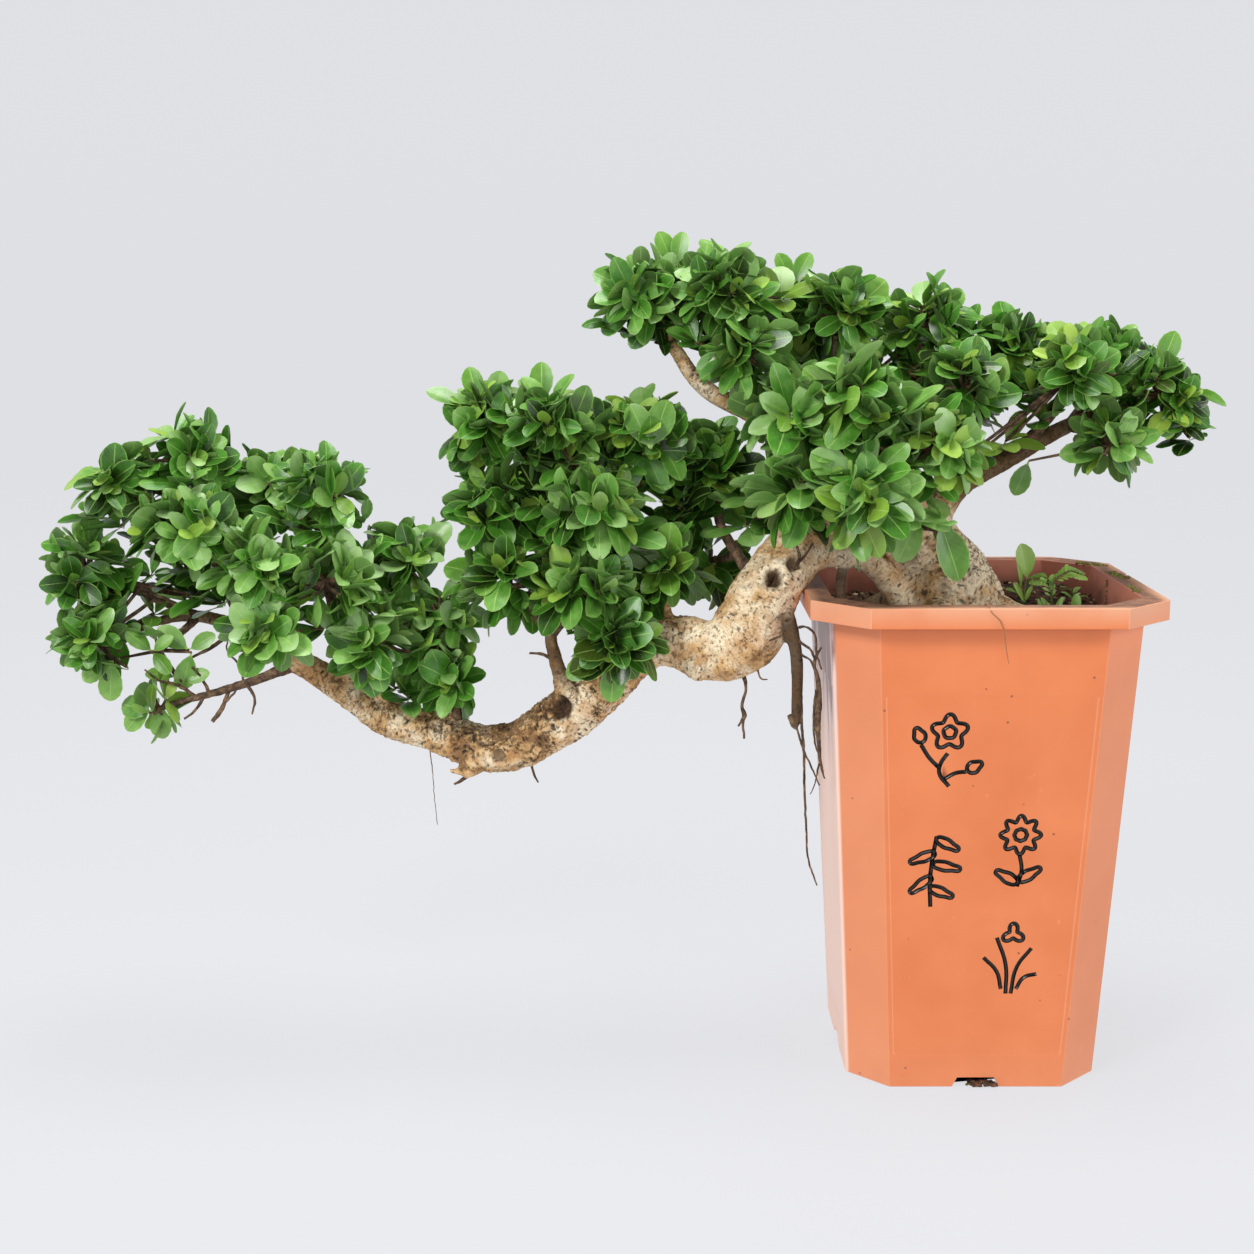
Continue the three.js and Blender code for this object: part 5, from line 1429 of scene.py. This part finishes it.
# Rosettes painted darker, as painted shade, that fill the inside of the tree, as [x, y, z] in mm,
# by the spray they grow on
INNER_ROSETTES = {
    "crown_left_1": [(-274, -5, 603), (-258, 10, 598), (-286, 4, 614)],
    "crown_left_4": [(-227, -28, 596), (-222, -5, 603), (-204, -10, 588)],
    "crown_left_5": [(-140, -10, 582), (-128, 10, 572), (-100, 0, 580), (-109, 15, 594)],
    "crown_left_2": [(-182, -8, 580), (-177, 4, 566)],
    "crown_top_1": [(-64, 12, 582), (-48, 2, 574), (-80, 16, 570)],
    "middle_tier_8": [(-246, -12, 444), (-238, -5, 462)],
    "middle_tier_3": [(-258, -8, 484), (-250, 10, 466), (-262, 4, 500)],
    "middle_tier_9": [(-230, 10, 452), (-224, 14, 470), (-236, 24, 440)],
    "front_tier_4": [(-176, -8, 462), (-160, 0, 450), (-184, 6, 446), (-168, -20, 474)],
    "right_tier_1": [(34, 5, 548), (55, 5, 532), (44, -12, 556), (20, 10, 560), (-12, -18, 502),
                     (6, -14, 510), (24, -12, 516)],
    "right_tier_3": [(155, -5, 527), (176, 0, 518), (136, 8, 528), (168, -14, 530)],
    "end_tier_5": [(-677, 0, 405), (-660, 8, 396), (-676, 5, 372)],
    "end_tier_4": [(-634, -4, 388), (-618, 4, 380), (-650, 4, 384)],
    "end_tier_1": [(-698, -4, 446)],
    "end_tier_2": [(-672, 5, 430), (-650, 10, 424)],
    "end_tier_3": [(-630, 10, 408), (-612, 0, 402), (-646, -6, 412)],
    "end_tier_15": [(-462, -25, 306), (-474, -22, 314)],
    "back_tier_1": [(-98, 20, 512), (-60, 20, 548), (-84, 0, 534)],
}

# Leaves that stand out from their spray: [foot], [the way it grows], [the way it faces], length.
# The longest of them is an old one, folded and dark. Their looks: [kind of leaf, tone].
LONG_LEAF = 45
LONG_LONE_LEAF, SHORT_LONE_LEAF, LONE_YOUTH = (2, 0.16), (0, 0.42), 0.1
LONE_LEAVES = {
    "crown_left_1": [((-246, -10, 655), (-0.35, 0, 1), (0.3, -1, 0.2), 30),
                     ((-243, -12, 656), (0.15, 0, 1), (-0.2, -1, 0.3), 27)],
    "crown_left_3": [((-148, 18, 642), (-0.45, 0, 1), (0.2, -1, 0.3), 27),
                     ((-147, 18, 642), (0.5, 0, 1), (-0.2, -1, 0.3), 28)],
    "front_tier_6": [((-42, -98, 464), (0.38, -0.05, -1), (0.25, -1, 0), 52),
                     ((-56, -98, 466), (-0.5, -0.1, -1), (-0.2, -1, 0.1), 40)],
    "middle_tier_1": [((-403, -8, 546), (-0.25, 0.1, 1), (0.1, -1, 0.1), 31),
                      ((-414, -10, 544), (-1, 0, 0.55), (0, -0.7, 1), 33)],
    "middle_tier_2": [((-352, -8, 545), (0.0, 0.1, 1), (0, -1, 0.1), 35)],
    "middle_tier_3": [((-264, -38, 512), (0.35, 0.0, 1), (0, -1, 0.1), 41),
                      ((-264, -38, 512), (-0.45, 0.0, 1), (0, -1, 0.1), 39)],
    "end_tier_17": [((-672, -20, 304), (0.15, -0.1, -1), (0, -1, 0.2), 34),
                    ((-676, -20, 300), (-0.75, -0.1, -0.7), (0, -1, 0.4), 31)],
    "end_tier_5": [((-704, -26, 338), (-0.15, 0, -1), (0.1, -1, 0.1), 36),
                   ((-704, -26, 338), (-0.9, 0, -0.5), (0, -1, 0.4), 32)],
    "end_tier_16": [((-643, -18, 345), (-0.75, -0.1, 0.6), (0, -1, 0.4), 31),
                    ((-643, -18, 345), (0.7, -0.1, 0.45), (0, -1, 0.3), 25),
                    ((-641, -18, 343), (-0.3, -0.1, -1), (0.2, -1, 0.2), 33),
                    ((-655, -18, 322), (-1, -0.1, 0.25), (0, -0.8, 1), 25),
                    ((-650, -18, 318), (0.8, -0.1, 0.35), (0, -0.9, 0.5), 24),
                    ((-700, -18, 338), (-0.5, -0.2, -1), (0, -1, 0.2), 30),
                    ((-700, -18, 338), (-1, -0.2, -0.1), (0, -0.6, 1), 33)],
    "right_tier_3": [((176, 0, 556), (1, 0, -0.25), (0.1, -0.6, 1), 32),
                     ((148, -4, 573), (0.35, -0.1, 1), (-0.2, -1, 0.3), 33)],
    "right_tier_4": [((44, -10, 500), (-0.4, -0.1, -1), (0, -1, 0.3), 30)],
    "middle_tier_11": [((-292, -84, 352), (-0.1, -0.2, -1), (0, -1, 0.2), 36),
                       ((-300, -84, 356), (-1, -0.2, -0.6), (0, -1, 0.5), 36)],
}

for number, spray in enumerate(sprays):
    name, centre = spray["name"], spray["centre"]
    tone, size = TIERS[spray["tier"]]
    size *= SMALL_LEAVED.get(name, 1)
    main, fine = spray_tips(number, spray, name in BARE_SPRAYS)
    if name in RISING_SPRAYS:
        main = [tip for tip in main if tip.z > centre.z]
    neighbours = [other for other in sprays[number + 1:] if other["tier"] == spray["tier"]
                  and BRIDGE_SPAN[0] < (other["centre"] - centre).length < BRIDGE_SPAN[1]]
    inner = [(centre + other["centre"]) / 2 + Vector((0, 0, BRIDGE_LIFT)) for other in neighbours]
    inner += [Vector(tip) for tip in INNER_ROSETTES.get(name, [])]
    leaves, twigs = [], []
    main_rows = SPARSE_ROSETTE if name in BARE_SPRAYS else ROSETTE
    for tips, first, rows, shaded in ((main, 0, main_rows, 0),
                                      (fine, FINE_START, FINE_ROSETTE, FINE_SHADED)):
        for index, tip in enumerate(tips, start=first):
            axis = (tip - centre).normalized() + nodding(number, index)
            leaves += grow_rosette(number, index, tip, axis, rows, size, tone + shaded)
    for index, tip in enumerate(inner, start=INNER_START):
        axis = Vector((chance(number, index, 0, 17) - 0.5, -0.5, 0.8))
        leaves += grow_rosette(number, index, tip, axis, FINE_ROSETTE, size, tone + INNER_SHADED)
    for foot, direction, facing, length in LONE_LEAVES.get(name, []):
        matrix = leaf_frame(Vector(foot), Vector(direction), Vector(facing))
        kind, lone_tone = LONG_LONE_LEAF if length > LONG_LEAF else SHORT_LONE_LEAF
        leaves.append(place_leaf(leaf_models[kind], matrix @ Matrix.Scale(length / LEAF_LENGTH, 4),
                                 lone_tone + tone, LONE_YOUTH))
        ways = (centre, centre.lerp(Vector(foot), 0.5), foot)
        twigs.append([[*way, radius] for way, radius in zip(ways, LEAF_STALK_RADII)])
    for tip in [*main, *fine, *inner]:
        ways = (centre, centre.lerp(tip, TWIG_BEND) - Vector((0, 0, TWIG_SAG)), tip)
        twigs.append([[*way, radius] for way, radius in zip(ways, TWIG_RADII)])
    twig_tubes = grow_tubes(name + "_twigs", twigs, twig_bark, sides=1, steps=3)
    foliage = join_pieces([leaves[0], twig_tubes, *leaves[1:]], name + "_leaves")
    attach(foliage, "root")
    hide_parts(name)

# Weeds came up in the soil on the right: a broad-leaved seedling, a plant with two toothed
# fronds, and a few tiny sprouts. Their leaves are tender, thin and bright.
tender_upper = leaf_material("tender_weed_leaf", 0.42, 0.0)
tender_lower = leaf_material("tender_leaf_underside", 0.6, 0.3)
SEEDLING_STEMS = [[[50, 20, 368, 1.2], [51, 21, 384, 1.1], [53, 22, 399, 0.8]],
                  [[50, 19, 368, 0.8], [47, 16, 380, 0.7], [46, 15, 388, 0.5]],
                  [[49, 14, 368, 0.8], [49, 10, 376, 0.7], [48, 8, 381, 0.6]]]
# Each leaf: [foot], [the way it grows], [the way it faces], length and how narrow it is
SEEDLING_LEAVES = [
    ((53, 22, 397), (-0.16, 0, 1), (0.3, -1, 0.1), 31, 1.15),
    ((46, 15, 387), (-0.08, 0, 1), (0.7, -1, 0), 25, 0.35),
    ((45, 15, 386), (-0.5, -0.2, 0.25), (-0.3, -0.6, 1), 14, 0.7),
    ((48, 8, 380), (-0.5, 0, 1), (0.4, -1, 0), 19, 0.5),
    ((48, 8, 380), (0.42, 0, 1), (-0.4, -1, 0), 16, 0.5),
]
FROND_STEMS = [[[72, 5, 368, 1.0], [70, 5, 384, 0.8], [66, 5, 401, 0.6], [54, 8, 399, 0.4]],
               [[70, 5, 384, 0.7], [72, 5, 399, 0.6], [84, 5, 407, 0.5], [98, 11, 402, 0.3]]]
SPROUTS = [
    ((70, 0, 368), (-0.5, 0, 1), (0.3, -1, 0.3), 20, 0.5),
    ((70, 0, 368), (0.45, 0, 1), (0, -1, 0.4), 20, 0.5),
    ((60, -2, 368), (-0.1, 0, 1), (0.3, -1, 0.5), 17, 0.5),
    ((60, -2, 368), (0.5, 0, 1), (0, -1, 0.5), 15, 0.6),
    ((88, 0, 368), (0.1, 0, 1), (0, -1, 0.2), 21, 0.8),
]
TUFT_STEMS = [[[93, 27, 368, 0.9], [93, 27, 377, 0.7], [93, 27, 384, 0.6]]]
LEAFLETS_PER_SIDE, LEAFLET_LENGTH = 9, 9
FROND_FACING = (0, -0.8, 1)
WEED_TONE, WEED_YOUTH = 0.68, 0.55
FROND_LOOK, SPROUT_LOOK = (0.7, 0.45), (0.6, 0.1)
TUFT_MIDDLE, TUFT_STEP, TUFT_LEAVES = (93, 27, 378), 2, 5


def weed_leaf(foot, direction, facing, length, narrow, tone=WEED_TONE, youth=WEED_YOUTH):
    """A tender leaf of a length in mm, made narrower or broader than a ficus leaf"""
    matrix = leaf_frame(Vector(foot), Vector(direction), Vector(facing))
    size = length / LEAF_LENGTH
    shape = Matrix.Diagonal((size * narrow, size, size, 1))
    leaf = place_leaf(leaf_models[2], matrix @ shape, tone, youth)
    leaf.data.materials[0] = tender_upper
    leaf.data.materials[1] = tender_lower
    return leaf


def frond_leaflets(stem):
    """Toothed leaflets in pairs along the outer half of a stem"""
    points = [Vector(knot[:3]) for knot in stem]
    leaflets = []
    for i in range(LEAFLETS_PER_SIDE):
        spot = (i + 0.5) / LEAFLETS_PER_SIDE * (len(points) - 2) + 1
        before = min(int(spot), len(points) - 2)
        foot = points[before].lerp(points[before + 1], spot - before)
        way = (points[before + 1] - points[before]).normalized()
        outwards = way.cross(Vector(FROND_FACING)).normalized()
        length = LEAFLET_LENGTH * math.sin(math.pi * (0.25 + 0.6 * i / LEAFLETS_PER_SIDE))
        for side in (-1, 1):
            direction = 0.8 * way + side * outwards + Vector((0, 0, 0.1))
            leaflets.append(weed_leaf(foot, direction, FROND_FACING, length, 0.9, *FROND_LOOK))
    return leaflets


tuft_x, tuft_y, tuft_z = TUFT_MIDDLE
tuft_leaves = [((tuft_x, tuft_y, tuft_z + TUFT_STEP * i),
                (math.cos(GOLDEN_ANGLE * i), math.sin(GOLDEN_ANGLE * i), 0.5), (0, 0, 1), 13, 0.8)
               for i in range(TUFT_LEAVES)]
weeds = [
    ("seedling", SEEDLING_STEMS, [weed_leaf(*leaf) for leaf in SEEDLING_LEAVES]),
    ("weed_tuft_1", FROND_STEMS, [leaf for stem in FROND_STEMS for leaf in frond_leaflets(stem)]
     + [weed_leaf(*leaf, *SPROUT_LOOK) for leaf in SPROUTS]),
    ("weed_tuft_2", TUFT_STEMS, [weed_leaf(*leaf) for leaf in tuft_leaves]),
]
for name, stems, leaves in weeds:
    stem_tubes = grow_tubes(name + "_stems", stems, tender_lower, sides=1, steps=4)
    weed = join_pieces([leaves[0], stem_tubes, *leaves[1:]], name + "_leaves")
    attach(weed, "root")
    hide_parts(name)
for model in leaf_models:
    bpy.data.objects.remove(model)

# Moss grows in three cushions on the rim, in a line down its inner wall, and thinly on the crumbs
# under the front notch. It is made of hundreds of tiny rounded shoots, drawn as coarse as they
# need to be to show.
MOSS_OLIVE, MOSS_BROWN, MOSS_GREEN = "5E5A2A", "6A5232", "7C8238"
SHOOT_SIZE, SHOOT_HEIGHT = (0.7, 1.8), 1.2
# Each cushion: [from], [to], how wide it is, how many shoots it has, and how large they are
CUSHIONS = [
    ((112, 100, 400), (131, 84, 400), 7, 78, 1.1),
    ((127, 46, 400), (134, 8, 400), 6, 84, 1.1),
    ((125, -30, 400), (124, -66, 400), 4, 50, 1.0),
    ((119.4, 22, 397), (117.4, 14, 376), 1, 32, 0.45),
    ((-6, -99, 1.5), (10, -99, 1.5), 3, 14, 0.8),
]

moss = mottled_material("dry_moss", 0.95, 1.4, (4, 3.0, 0.5),
                        [(0.38, MOSS_BROWN), (0.5, MOSS_OLIVE), (0.62, MOSS_GREEN)])
shoot_model = knobbly_stone("shoot", moss, 5)
tufts = []
for cushion, (start, end, width, count, grown) in enumerate(CUSHIONS, start=301):
    for i in range(count):
        spot = Vector(start).lerp(Vector(end), chance(cushion, i, 0, 1))
        spot.x += width * (chance(cushion, i, 0, 2) - 0.5)
        spot.y += width * (chance(cushion, i, 0, 3) - 0.5)
        size = grown * between(SHOOT_SIZE, chance(cushion, i, 0, 4)) * MM
        shape = Matrix.Diagonal((size, size, SHOOT_HEIGHT * size, 1))
        tufts.append(copy_of(shoot_model, Matrix.Translation(place(*spot)) @ shape))
bpy.data.objects.remove(shoot_model)
cushions = join_pieces(tufts, "moss")
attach(cushions, "root")
